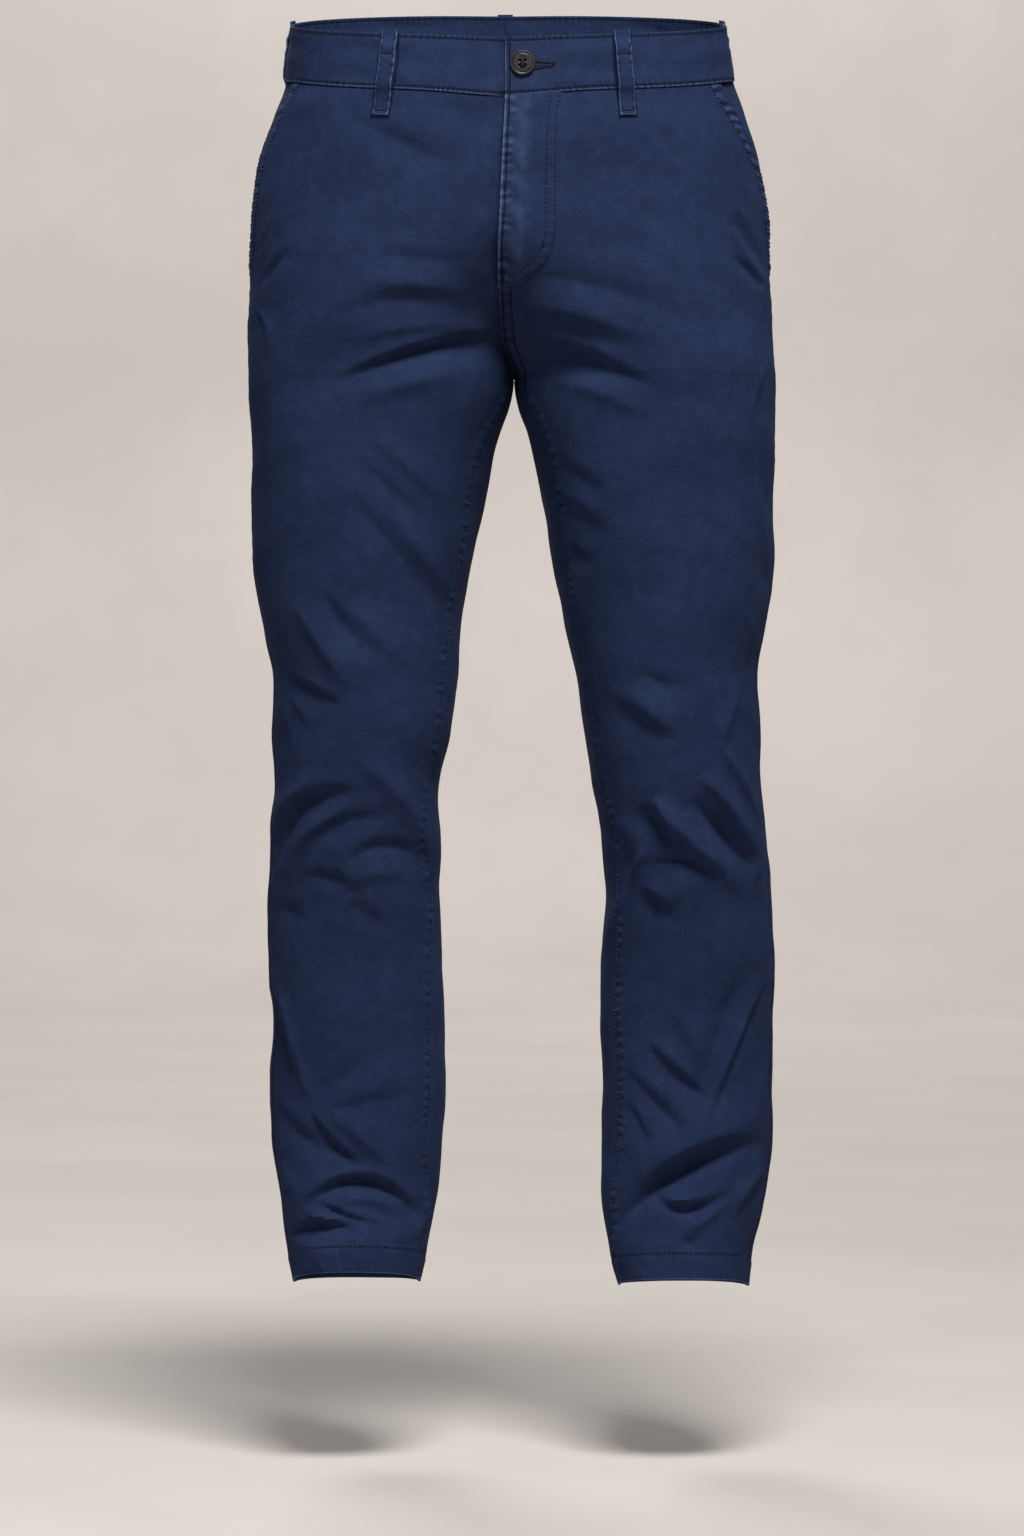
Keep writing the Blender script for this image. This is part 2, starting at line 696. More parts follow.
    def seam_places(self, leg: Leg, z: Array, angle: Array) -> dict[str, Array]:
        """Distances on the cloth from a leg's seams, in millimetres, below 0 on the back's side of each."""
        arc = self.arc(leg, z, angle)
        turned = np.where(angle < -90, angle + 360, angle)
        inseam = (self.inseam_angle(leg, z) - turned) * arc
        return {
            "inseam": np.where(z < SIZE.crotch_z, inseam, FAR),
            "side": (angle - self.side_seam(z)) * arc,
            "pocket": np.where(z > SIZE.pocket_end_z - 12, (angle - leg.pocket(z)) * arc, FAR),
            "hem": z - self.hem(leg, angle),
            "round": self.base(leg, z, angle)[..., :2].sum(-1),
        }

    def seam_height(self, leg: Leg, points: Array, z: Array, angle: Array) -> Array:
        """The relief of seams: turned edges that stand proud, stitch grooves, and puckers beside them."""
        place = self.seam_places(leg, z, angle)
        seed = 1.7 + leg.sign
        inseam, side, pocket, hem = place["inseam"], place["side"], place["pocket"], place["hem"]
        band = smooth(-0.6, 0.6, inseam) * smooth(9.5, 6.5, inseam)
        beside = bell(inseam - 4, 6.5)
        height = 0.6 * band + 0.4 * beside * ripple(points[..., 2], 8.5, seed)
        height -= 0.95 * bell(inseam, 1.4)
        flat_side = bell(side, 1.6) * smooth(SIZE.pocket_end_z + 14, SIZE.pocket_end_z - 6, z)
        beside = bell(side, 7) * smooth(SIZE.pocket_end_z + 14, SIZE.pocket_end_z - 6, z)
        height += 0.3 * beside * ripple(points[..., 2], 13, seed + 4) - 0.7 * flat_side
        band = smooth(-0.2, 1.0, pocket) * smooth(20.0, 16.5, pocket)
        band = band * smooth(SIZE.pocket_end_z - 6, SIZE.pocket_end_z, z)
        height += band * (0.9 + 0.4 * ripple(points[..., 2], 8.5, seed + 2))
        turned = smooth(SIZE.hem_depth + 0.8, SIZE.hem_depth - 0.8, hem)
        waves = ripple(place["round"] + 0.6 * hem, 12, seed + 6)
        height += turned * (0.35 + 0.14 * waves * smooth(0, 8, hem))
        height += 0.25 * waves * bell(hem - SIZE.hem_depth, 5)
        height -= 0.55 * bell(hem - SIZE.hem_depth, 1.4)
        return height

    def seat_height(self, leg: Leg, points: Array, normals: Array) -> Array:
        """The relief of the seat seam and of the two darts under the waistband at the back."""
        x, z = points[..., 0], points[..., 2]
        behind = smooth(0.1, 0.6, normals[..., 1])
        from_centre = (x - leg.centre(z)) * leg.sign
        beside = bell(from_centre, 6)
        height = -0.7 * bell(from_centre, 1.5) + 0.32 * beside * ripple(z, 10, 5.0)
        dart = np.abs(x) - (64 + 0.05 * (-20 - z))
        length = smooth(-112, -88, z)
        height += length * (-0.8 * bell(dart, 1.7) + 0.35 * bell(dart, 7))
        return behind * height

    def fork_seam_height(self, leg: Leg, points: Array, normals: Array) -> Array:
        """The relief of the centre front seam under the fly."""
        z = points[..., 2]
        before = smooth(0.05, 0.5, -normals[..., 1])
        below_fly = smooth(SIZE.fly_end_z + 6, SIZE.fly_end_z - 4, z)
        from_centre = points[..., 0] - leg.centre(z)
        band = smooth(0, 1, from_centre) * smooth(9.5, 7.5, from_centre)
        waves = 0.4 * bell(from_centre - 4, 5) * ripple(z, 7, 2.2)
        height = below_fly * (0.45 * band + waves - 0.8 * bell(from_centre, 1.3))
        beside_fly = smooth(-62, -84, z) * smooth(SIZE.fly_end_z - 14, SIZE.fly_end_z + 8, z)
        on_right = 1.0 if leg.sign < 0 else 0.0
        return before * (height - 3.2 * on_right * beside_fly * bell(from_centre + 1, 5))

    @staticmethod
    def drape_height(points: Array) -> Array:
        """Slow, shallow unevenness, as no cloth hangs quite smooth."""
        x, y, z = points[..., 0], points[..., 1], points[..., 2]
        slow = np.sin(x / 31 + z / 57 + 1.1) * np.sin(z / 43 - y / 37 + 0.4)
        middle = np.sin(x / 17 - z / 23 + 2.0) * np.sin(z / 19 + y / 21 + x / 41)
        small = np.sin(x / 7.9 + z / 12.1 + y / 9) * np.sin(z / 8.7 - x / 13.3 + 0.7)
        return 1.7 * slow + 0.75 * middle + 0.22 * small

    def cloth(self, leg: Leg, z: Array, angle: Array) -> Array:
        """Points of the cloth with its folds, seams and puckers."""
        z, angle = np.broadcast_arrays(np.asarray(z, float), np.asarray(angle, float))
        points = self.base(leg, z, angle)
        normals = self.normal(self.base, leg, z, angle)
        folds = self.fold_height(points, -normals[..., 1], FRONT_FOLDS)
        folds += self.fold_height(points, normals[..., 1], BACK_FOLDS)
        level = z - SIZE.waist_tilt * points[..., 1]
        below_band = smooth(-SIZE.band_height + 4, -SIZE.band_height - 16, level)
        from_centre = np.abs(points[..., 0] - leg.centre(z))
        height = (folds + self.drape_height(points)) * smooth(0, 8, from_centre) * (0.12 + 0.88 * below_band)
        height += self.seam_height(leg, points, z, angle) * below_band
        height += self.seat_height(leg, points, normals) * below_band
        height += self.fork_seam_height(leg, points, normals)
        shift = normals * height[..., None]
        shift[..., 0] *= smooth(0, 9, from_centre)
        return points + shift

    def frame(self, leg: Leg, z: Array, angle: Array) -> tuple[Array, Array]:
        """Points of the cloth and their outward normals."""
        z, angle = np.broadcast_arrays(np.asarray(z, float), np.asarray(angle, float))
        return self.cloth(leg, z, angle), self.normal(self.cloth, leg, z, angle)


FORM = Form()


def deselect() -> None:
    """Leaves edit mode and deselects everything."""
    if bpy.context.object and bpy.context.object.mode != "OBJECT":
        bpy.ops.object.mode_set(mode="OBJECT")
    bpy.ops.object.select_all(action="DESELECT")


def activate(piece: bpy.types.Object) -> None:
    """Makes a piece the only selected one and the active one."""
    deselect()
    piece.select_set(True)
    bpy.context.view_layer.objects.active = piece


def apply_modifier(piece: bpy.types.Object, kind: str, **settings: object) -> None:
    """Adds a modifier with these settings and applies it."""
    activate(piece)
    modifier = piece.modifiers.new(kind.title(), kind)
    for name, value in settings.items():
        setattr(modifier, name, value)
    bpy.ops.object.modifier_apply(modifier=modifier.name)


def outward(points: Array, faces: Array) -> Array:
    """Turns all faces round if together they enclose a negative volume."""
    a, b, c, d = (points[faces[:, i]] for i in range(4))
    volume = (a * np.cross(b, c)).sum() + (a * np.cross(c, d)).sum()
    return faces if volume > 0 else faces[:, ::-1]


def round_off(piece: bpy.types.Object, width: float, segments: int, angle: float) -> None:
    """Rounds a piece's edges, by millimetres, where they turn by more than an angle in degrees."""
    limits = {"limit_method": "ANGLE", "angle_limit": angle * DEGREE}
    apply_modifier(piece, "BEVEL", width=width * MM, segments=segments, **limits)


def mesh_piece(name: str, points: Array, faces: list, unit: float = MM) -> bpy.types.Object:
    """A smooth-shaded object.

    Args:
        name: The piece's name.
        points: Corners, N by 3.
        faces: The corners' numbers, face by face.
        unit: The points' unit, in metres.

    Returns:
        The new object, at the origin.
    """
    mesh = bpy.data.meshes.new(name)
    mesh.from_pydata((points * unit).tolist(), [], faces)
    mesh.polygons.foreach_set("use_smooth", np.ones(len(mesh.polygons), bool))
    mesh.update()
    piece = bpy.data.objects.new(name, mesh)
    bpy.context.scene.collection.objects.link(piece)
    return piece


def nearest(*distances: Array) -> Array:
    """Whichever signed distance is the smallest in size, at each place."""
    stack = np.stack(np.broadcast_arrays(*distances))
    return np.take_along_axis(stack, np.abs(stack).argmin(0)[None], 0)[0]


def from_pair(distance: Array, lines: tuple[float, float]) -> Array:
    """Signed distances from the nearer of two lines, which lie this far from where the distance is 0."""
    first, second = lines
    return np.abs(distance - (first + second) / 2) - (second - first) / 2


def wall(
    name: str, outer: Array, inner: Array, marks: dict[str, Array], round_edges: float = 0.3
) -> bpy.types.Object:
    """A closed wall of cloth between two grids of points, with its pattern laid flat as a UV map.

    Args:
        name: The piece's name.
        outer: The outer grid, rows by columns by 3.
        inner: The inner grid, of the same size.
        marks: Numbers over the grid that the finish reads, by name.
        round_edges: Radius of the rounding at the wall's rim, or 0 for none.

    Returns:
        The new piece.
    """
    rows, columns = outer.shape[:2]
    index = np.arange(rows * columns).reshape(rows, columns)
    quads = np.stack([index[:-1, :-1], index[1:, :-1], index[1:, 1:], index[:-1, 1:]], -1).reshape(-1, 4)
    rim = np.concatenate([index[0, :-1], index[:-1, -1], index[-1, :0:-1], index[:0:-1, 0]])
    following = np.roll(rim, -1)
    layer = rows * columns
    sides = np.stack([rim, following, following + layer, rim + layer], -1)
    points = np.concatenate([outer.reshape(-1, 3), inner.reshape(-1, 3)])
    faces = outward(points, np.concatenate([quads, quads[:, ::-1] + layer, sides]))
    piece = mesh_piece(name, points, faces.tolist())
    across = np.linalg.norm(np.diff(outer, axis=1), axis=-1)
    down = np.linalg.norm(np.diff(outer, axis=0), axis=-1)
    u = np.concatenate([np.zeros((rows, 1)), across.cumsum(1)], 1)
    u -= u[:, columns // 2][:, None]
    v = -np.concatenate([np.zeros((1, columns)), down.cumsum(0)], 0)
    flat = np.stack([u, v], -1).reshape(-1, 2) * MM
    corners = np.zeros(len(piece.data.loops), int)
    piece.data.loops.foreach_get("vertex_index", corners)
    piece.data.uv_layers.new(name="Pattern").data.foreach_set("uv", flat[corners % layer].ravel())
    for mark, values in (PLAIN_MARKS | marks).items():
        attribute = piece.data.attributes.new(mark, "FLOAT", "POINT")
        attribute.data.foreach_set("value", np.tile(np.broadcast_to(values, (rows, columns)).ravel(), 2))
    if round_edges:
        round_off(piece, round_edges, 2, 55)
        piece.data.polygons.foreach_set("use_smooth", np.ones(len(piece.data.polygons), bool))
    return piece


def spaced_shares(count: int, ends: tuple[float, float], length: float) -> Array:
    """Shares from 0 to 1 that stand closer together at both ends.

    Args:
        count: How many steps there are.
        ends: How much closer the steps are at the start and at the end, 1 for even.
        length: The share of the way over which they widen.

    Returns:
        count + 1 shares.
    """
    t = np.linspace(0, 1, count * 8 + 1)
    step = 1 - (1 - 1 / ends[0]) * bell(t, length) - (1 - 1 / ends[1]) * bell(1 - t, length)
    run = np.concatenate([[0], ((step[1:] + step[:-1]) / 2).cumsum()])
    even = np.linspace(0, 1, count + 1)
    return np.interp(even, t, run / run[-1])


class Finish(Enum):
    """The record's material slots."""

    CLOTH = "cloth"
    BUTTON = "button"


@dataclass
class Panels:
    """The four leg panels, from the waistband's seam to the hem."""

    rise_rows: int = 116
    leg_rows: int = 292
    columns: int = 84
    crowded: tuple[float, float] = (3.2, 3.2)
    crowd_length: float = 0.07
    edge_in: float = 0.3

    def heights(self, leg: Leg, face: Face, shares: Array) -> tuple[Array, Array]:
        """Heights and angles of a panel's grid.

        Args:
            leg: The leg.
            face: Its front or its back.
            shares: The columns' shares of the way from the inner edge to the outer one.

        Returns:
            Two arrays, rows by columns.
        """
        top = float(FORM.tilted(leg, np.array(90.0 if face is Face.FRONT else -90.0), -SIZE.band_height))
        fine = np.linspace(top, SIZE.crotch_z, 400)
        curve = FORM.base(leg, fine, FORM.angle_at(leg, fine, 0.0, face))
        run = run_along(curve)
        even = np.linspace(0, 1, self.rise_rows + 1)
        curved = (top - np.interp(even * run[-1], run, fine)) / (top - SIZE.crotch_z)
        down = even[:, None] + (curved - even)[:, None] * (1 - shares[None, :]) ** 2
        z = np.full(down.shape, -SIZE.band_height)
        for _ in range(TURNS):
            start = FORM.tilted(leg, self.angles(leg, face, z, shares), -SIZE.band_height)
            z = start + (SIZE.crotch_z - start) * down
        low = np.linspace(0, 1, self.leg_rows + 1)[1:, None]
        level = SIZE.crotch_z + (SIZE.hem_z - SIZE.crotch_z) * low
        level = np.broadcast_to(level, (self.leg_rows, len(shares)))
        hem = FORM.hem(leg, self.angles(leg, face, level, shares))
        z = np.concatenate([z, SIZE.crotch_z + (hem - SIZE.crotch_z) * low])
        return z, self.angles(leg, face, z, shares)

    @staticmethod
    def angles(leg: Leg, face: Face, z: Array, shares: Array) -> Array:
        """Angles of the columns at these heights, from a panel's inner edge to its outer one."""
        inseam, seam = FORM.inseam_angle(leg, z), FORM.side_seam(z)
        centre = FORM.angle_at(leg, z, 0.0, face)
        if face is Face.FRONT:
            inner = np.where(z >= SIZE.crotch_z, np.minimum(centre, inseam), inseam)
            outer = np.where(z > SIZE.pocket_end_z, np.maximum(leg.pocket(z), seam), seam)
        else:
            inner = np.where(z >= SIZE.crotch_z, np.maximum(centre, inseam - 360), inseam - 360)
            outer = seam
        return inner + (outer - inner) * shares

    @staticmethod
    def marks(leg: Leg, face: Face, z: Array, angle: Array, points: Array) -> dict[str, Array]:
        """What the cloth's finish reads: puckers, rubbed places, and distances from edges and stitches."""
        front = face is Face.FRONT
        place = FORM.seam_places(leg, z, angle)
        inseam, side, pocket, hem = place["inseam"], place["side"], place["pocket"], place["hem"]
        rise = smooth(-0.5, 0.8, inseam) * smooth(10, 7, inseam)
        slant = front * smooth(19.0, 16.0, pocket) * smooth(SIZE.pocket_end_z - 4, SIZE.pocket_end_z, z)
        turned = smooth(SIZE.hem_depth + 1.5, SIZE.hem_depth - 1, hem)
        from_centre = points[..., 0] - leg.centre(z)
        under_fly = smooth(SIZE.fly_end_z + 4, SIZE.fly_end_z - 2, z) * smooth(-272, -250, z)
        fork = front * under_fly * smooth(-1, 1, from_centre) * smooth(10, 8, from_centre)
        seat = bell(from_centre, 5) * (z > -262) * (not front)
        beside = 0.4 * bell(side, 6)
        ladder = np.maximum.reduce([0.6 * rise, slant, 0.15 * turned, 0.5 * fork, 0.5 * seat, beside])
        run = np.where(turned > 0.5, place["round"], points[..., 2])
        rubbed = 0.3 * bell(hem - SIZE.hem_depth - 1, 1.2)
        edge = hem
        below = FORM.tilted(leg, angle, -SIZE.band_height) - z
        side_line = np.where(z < SIZE.pocket_end_z, np.abs(side) - 0.2, FAR)
        lines = [inseam - Topstitching.inseam, below - 0.5, side_line]
        if front:
            rubbed = rubbed + 0.5 * bell(inseam - 0.4, 0.9)
            edge = np.where(z > SIZE.pocket_end_z, np.minimum(hem, pocket), hem)
            lines.append(np.where(z > SIZE.pocket_end_z, from_pair(pocket, Topstitching.pocket_lines), FAR))
        if leg.name == "left":
            fork_lines = from_pair(from_centre, Topstitching.fork_lines)
            fork_lines = np.where(z < SIZE.fly_end_z, fork_lines, FAR)
            lines.append(fork_lines if front else from_centre - Topstitching.seat_line)
        if leg.name == "left" and front:
            at_fork = (z < SIZE.fly_end_z) & (z > SIZE.crotch_z)
            edge = np.where(at_fork, np.minimum(edge, from_centre), edge)
        height = z - SIZE.waist_tilt * points[..., 1]
        loops = BeltLoops().beside(leg, height, angle, FORM.arc(leg, z, angle))
        return {
            "ladder": ladder,
            "rubbed": rubbed,
            "run": run * MM,
            "edge": edge + Panels.edge_in,
            "sewn": nearest(*lines),
            "hemmed": nearest(hem - SIZE.hem_depth, loops),
        }

    def build(self, leg: Leg, face: Face) -> bpy.types.Object:
        """One panel.

        Args:
            leg: The leg.
            face: Its front or its back.

        Returns:
            The new piece.
        """
        shares = spaced_shares(self.columns, self.crowded, self.crowd_length)
        z, angle = self.heights(leg, face, shares)
        points, normals = FORM.frame(leg, z, angle)
        turned = smooth(SIZE.hem_depth + 1.5, SIZE.hem_depth - 1.5, z - FORM.hem(leg, angle))
        thick = SIZE.wall + SIZE.hem_extra * turned
        if leg.name == "left" and face is Face.FRONT:
            fly = Fly()
            reach = points[..., 0] - leg.centre(z)
            inside = smooth(1.0, 0.9, reach / np.maximum(fly.width(z), 1))
            under_fly = inside * smooth(fly.bottom() - 1, fly.bottom() + 3, z)
            sink = normals * (fly.seam_out * under_fly)[..., None]
            sink[..., 0] *= smooth(0, 9, reach)
            points = points - sink
        inner = points - normals * thick[..., None]
        return wall(f"{leg.name}_{face.value}_panel", points, inner, self.marks(leg, face, z, angle, points))


@dataclass
class Waistband:
    """The two halves of the waistband; the right one runs on under the left as the underlap."""

    rows: int = 26
    columns: int = 190
    underlap: float = 35.0
    ramp: float = 15.0
    drop: float = 2.6
    lap_columns: int = 18
    end_stitch: float = 3.6

    @staticmethod
    def swell(height: Array, run: Array, seed: float) -> Array:
        """The band's soft roll between its two stitched edges, with drag lines and puckers."""
        inside = smooth(0, -9, height) * smooth(-SIZE.band_height, -SIZE.band_height + 9, height)
        near_edges = smooth(-16, -5, height) + smooth(-SIZE.band_height + 14, -SIZE.band_height + 5, height)
        puckers = near_edges * (0.12 + 0.3 * inside) * ripple(run, 12, seed)
        bent = height / 4.2 + 1.3 * np.sin(run / 38 + seed) + 0.02 * run
        drag = 0.6 * np.sin(bent) * (0.5 + 0.5 * np.sin(run / 27 + 2 * seed))
        return 0.55 * inside + puckers + drag * inside

    def build(self, leg: Leg) -> bpy.types.Object:
        """One half of the band.

        Args:
            leg: The side it is on.

        Returns:
            The new piece.
        """
        laps = leg.name == "right"
        share = spaced_shares(self.rows, (2.6, 2.6), 0.16)
        height = -SIZE.band_height * (1 - share)[:, None]
        front = FORM.angle_at(leg, height, 0.0, Face.FRONT)
        back = FORM.angle_at(leg, height, 0.0, Face.BACK)
        angle = front + (back - front) * spaced_shares(self.columns, (4.0, 1.0), 0.06)
        z = FORM.tilted(leg, angle, height)
        points, normals = FORM.frame(leg, z, angle)
        reach = leg.sign * (points[..., 0] - leg.centre(z))
        near = (1 - smooth(0, self.ramp, reach)) * (angle > 0) * laps
        run = angle * FORM.arc(leg, z, angle)
        swell = self.swell(height, run, 2.0 + leg.sign)
        out = SIZE.band_out + swell * (1 - near) - self.drop * near
        thick = SIZE.band_wall + np.minimum(swell, 0.4) * (1 - near)
        outer = raised(points, normals, out)
        inner = raised(points, normals, out - thick)
        end = np.where((angle > 0) & (not laps), reach, FAR)
        half, above_seam = SIZE.band_height / 2, height + SIZE.band_height
        marks = {
            "ladder": 0.6 * (bell(height, 5) + bell(above_seam, 5)),
            "run": run * MM,
            "edge": np.minimum(above_seam, end),
            "sewn": nearest(half - 2.6 - np.abs(height + half), end - self.end_stitch),
            "hemmed": BeltLoops().beside(leg, height, angle, FORM.arc(leg, z, angle)),
        }
        if laps:
            outer, inner, marks = self.with_underlap(height, outer, inner, marks)
        return wall(f"{leg.name}_waistband", outer, inner, marks, 0.5)

    def with_underlap(
        self, height: Array, outer: Array, inner: Array, marks: dict[str, Array]
    ) -> tuple[Array, Array, dict[str, Array]]:
        """Adds the stretch of the right half that lies under the left one."""
        left = LEGS["left"]
        away = self.underlap * np.linspace(1, 0.02, self.lap_columns)[None, :] + 0 * height
        angle = FORM.angle_at(left, height, away, Face.FRONT)
        z = FORM.tilted(left, angle, height)
        points, normals = FORM.frame(left, z, angle)
        out = SIZE.band_out - self.drop
        lap_outer = points + normals * out
        lap_inner = points + normals * (out - SIZE.wall * 2)
        whole = outer.shape[:2]
        joined = {
            mark: np.concatenate([np.full(away.shape, PLAIN_MARKS[mark]), np.broadcast_to(values, whole)], 1)
            for mark, values in marks.items()
        }
        return np.concatenate([lap_outer, outer], 1), np.concatenate([lap_inner, inner], 1), joined


@dataclass
class Fly:
    """The topstitched fly on the left front."""

    rows: int = 110
    columns: int = 46
    width_at_top: float = 44.5
    edge_out: float = 1.9
    seam_out: float = 0.6
    under: float = 0.04
    rim_out: float = 0.12
    curve_top: float = -180.0
    curve_height: float = 39.5
    blunt: float = 7.0
    j_fading: float = 0.65

    def width(self, z: Array) -> Array:
        """The flap's width at a height, a little wider than its J stitch."""
        drop = np.clip((self.curve_top - z) / self.curve_height, 0, 1)
        return self.width_at_top * np.sqrt(1 - drop * drop)

    def bottom(self) -> float:
        """The height of the flap's foot."""
        return self.curve_top - self.curve_height * math.sqrt(1 - (self.blunt / self.width_at_top) ** 2)

    @staticmethod
    def j_line(line: tuple[Stitch, ...]) -> Array:
        """A J stitch as even places of height and reach from the centre line."""
        known = np.array([(s.z, s.x) for s in line])
        run = run_along(known)
        fine = np.linspace(0, run[-1], 200)
        soft = sample(fine, run, known)
        for _ in range(14):
            soft[1:-1] = (soft[:-2] + 2 * soft[1:-1] + soft[2:]) / 4
        soft[:, 1] -= LEGS["left"].centre(soft[:, 0])
        return soft

    def from_j(self, z: Array, reach: Array) -> Array:
        """Distances from the nearer J stitch."""
        paths = np.concatenate([self.j_line(line) for line in (OUTER_J, INNER_J)])
        return np.hypot(z[..., None] - paths[:, 0], reach[..., None] - paths[:, 1]).min(-1)

    def out(self, z: Array, reach: Array) -> Array:
        """How far the flap stands off the cloth: turned edge, zip ridge, puckers and stitch grooves."""
        across = reach / np.maximum(self.width(z), 1)
        down = smooth(-70, -84, z) * smooth(-214, -196, z)
        wander = 1.6 * np.sin(z / 17 + 0.6) + 0.9 * np.sin(z / 7.5)
        zip_ridge = 0.9 * bell(reach - 16, 4.5) + 0.3 * bell(reach - 16.5 - wander, 2)
        hollow = -0.3 * bell(reach - 20.5 - wander, 1.8) - 0.5 * bell(reach - 27, 3.6)
        slanted = 0.5 * np.sin((z + 1.1 * reach) / 4.4 + 1.4 * np.sin(z / 23)) * bell(reach - 11, 9)
        edge = 0.18 * ripple(z, 12, 0.4) * bell(reach, 5)
        beside = 0.2 * ripple(z, 9.0, 2.6) * bell(reach - 38, 6)
        groove = bell(self.from_j(z, reach), 1.2)
        lift = self.seam_out + (self.edge_out - self.seam_out) * smooth(0.75, 0.1, across)
        relief = (down * (zip_ridge + hollow + slanted) + edge + beside) * smooth(-2, 3, reach)
        body = np.maximum(lift + relief - 0.55 * groove, 0.05) * smooth(1.0, 0.93, across)
        return np.where(across > 1, 0.0, body + self.rim_out)

    def build(self) -> bpy.types.Object:
        """The fly's flap, which thins to nothing past its J stitch."""
        left = LEGS["left"]
        across = spaced_shares(self.columns, (3.0, 1.5), 0.12)[None, :]
        down = np.sin(np.linspace(0, 1, self.rows + 1) * 90 * DEGREE)[:, None]
        z = np.full((self.rows + 1, self.columns + 1), -SIZE.band_height)
        for _ in range(TURNS):
            angle = FORM.angle_at(left, z, self.width(z) * across, Face.FRONT)
            top = FORM.tilted(left, angle, -SIZE.band_height)
            z = top + (self.bottom() - top) * down
        reach = self.width(z) * across
        angle = FORM.angle_at(left, z, reach, Face.FRONT)
        points, normals = FORM.frame(left, z, angle)
        marks = {
            "ladder": 0.55 * smooth(12, 6, reach),
            "rubbed": 0.2 * bell(reach - 16.5, 5) + 0.3 * smooth(34, 4, reach),
            "run": z * MM,
            "edge": reach,
            "sewn": nearest(self.from_j(z, reach) + self.j_fading, reach - Topstitching.fly_edge),
        }
        outer = raised(points, normals, self.out(z, reach))
        return wall("fly_front", outer, points + normals * self.under, marks, 0.1)


@dataclass
class PocketBearer:
    """The cloth behind a pocket's slanted opening."""

    rows: int = 80
    columns: int = 34
    drop: float = 1.6
    thick: float = 1.0
    clear: float = 0.7
    under: float = 7.0
    sink_from: float = -135.0
    sink_to: float = -165.0
    end: float = -196.0

    def build(self, leg: Leg) -> bpy.types.Object:
        """One bearer: level with the back at the side seam, and under the front at the slant."""
        share = np.linspace(0, 1, self.columns + 1)[None, :]
        down = np.linspace(0, 1, self.rows + 1)[:, None]
        z = np.full((self.rows + 1, self.columns + 1), -SIZE.band_height)
        shown = 0.7
        for _ in range(TURNS):
            seam = FORM.side_seam(z)
            slant = np.maximum(leg.pocket(z), seam) - self.clear
            inside = seam + (slant - seam) * np.minimum(share / shown, 1)
            angle = inside + self.under * np.clip((share - shown) / (1 - shown), 0, 1)
            top = FORM.tilted(leg, angle, -SIZE.band_height)
            z = top + (self.end - top) * down
        points, normals = FORM.frame(leg, z, angle)
        ramp = smooth(0, 1, np.minimum(share / shown, 1)) + 0 * z
        out = -self.drop * np.maximum(ramp, smooth(self.sink_from, self.sink_to, z))
        outer = raised(points, normals, out)
        marks = {"sewn": (leg.pocket(z) - angle) * FORM.arc(leg, z, angle) - 0.9}
        return wall(f"{leg.name}_pocket_bearer", outer, outer - normals * self.thick, marks, 0)


@dataclass(frozen=True)
class LoopPlace:
    """Where a belt loop lies: its side, or the centre back, and its angles at the top and the bottom."""

    name: str
    side: str
    top: float
    bottom: float


LOOP_PLACES = (
    LoopPlace("front_right", "right", 61.0, 61.6),
    LoopPlace("front_left", "left", 61.6, 63.1),
    LoopPlace("side_right", "right", -10.0, -11.0),
    LoopPlace("side_left", "left", -12.0, -13.0),
    LoopPlace("centre_back", "centre", -90.0, -90.0),
)


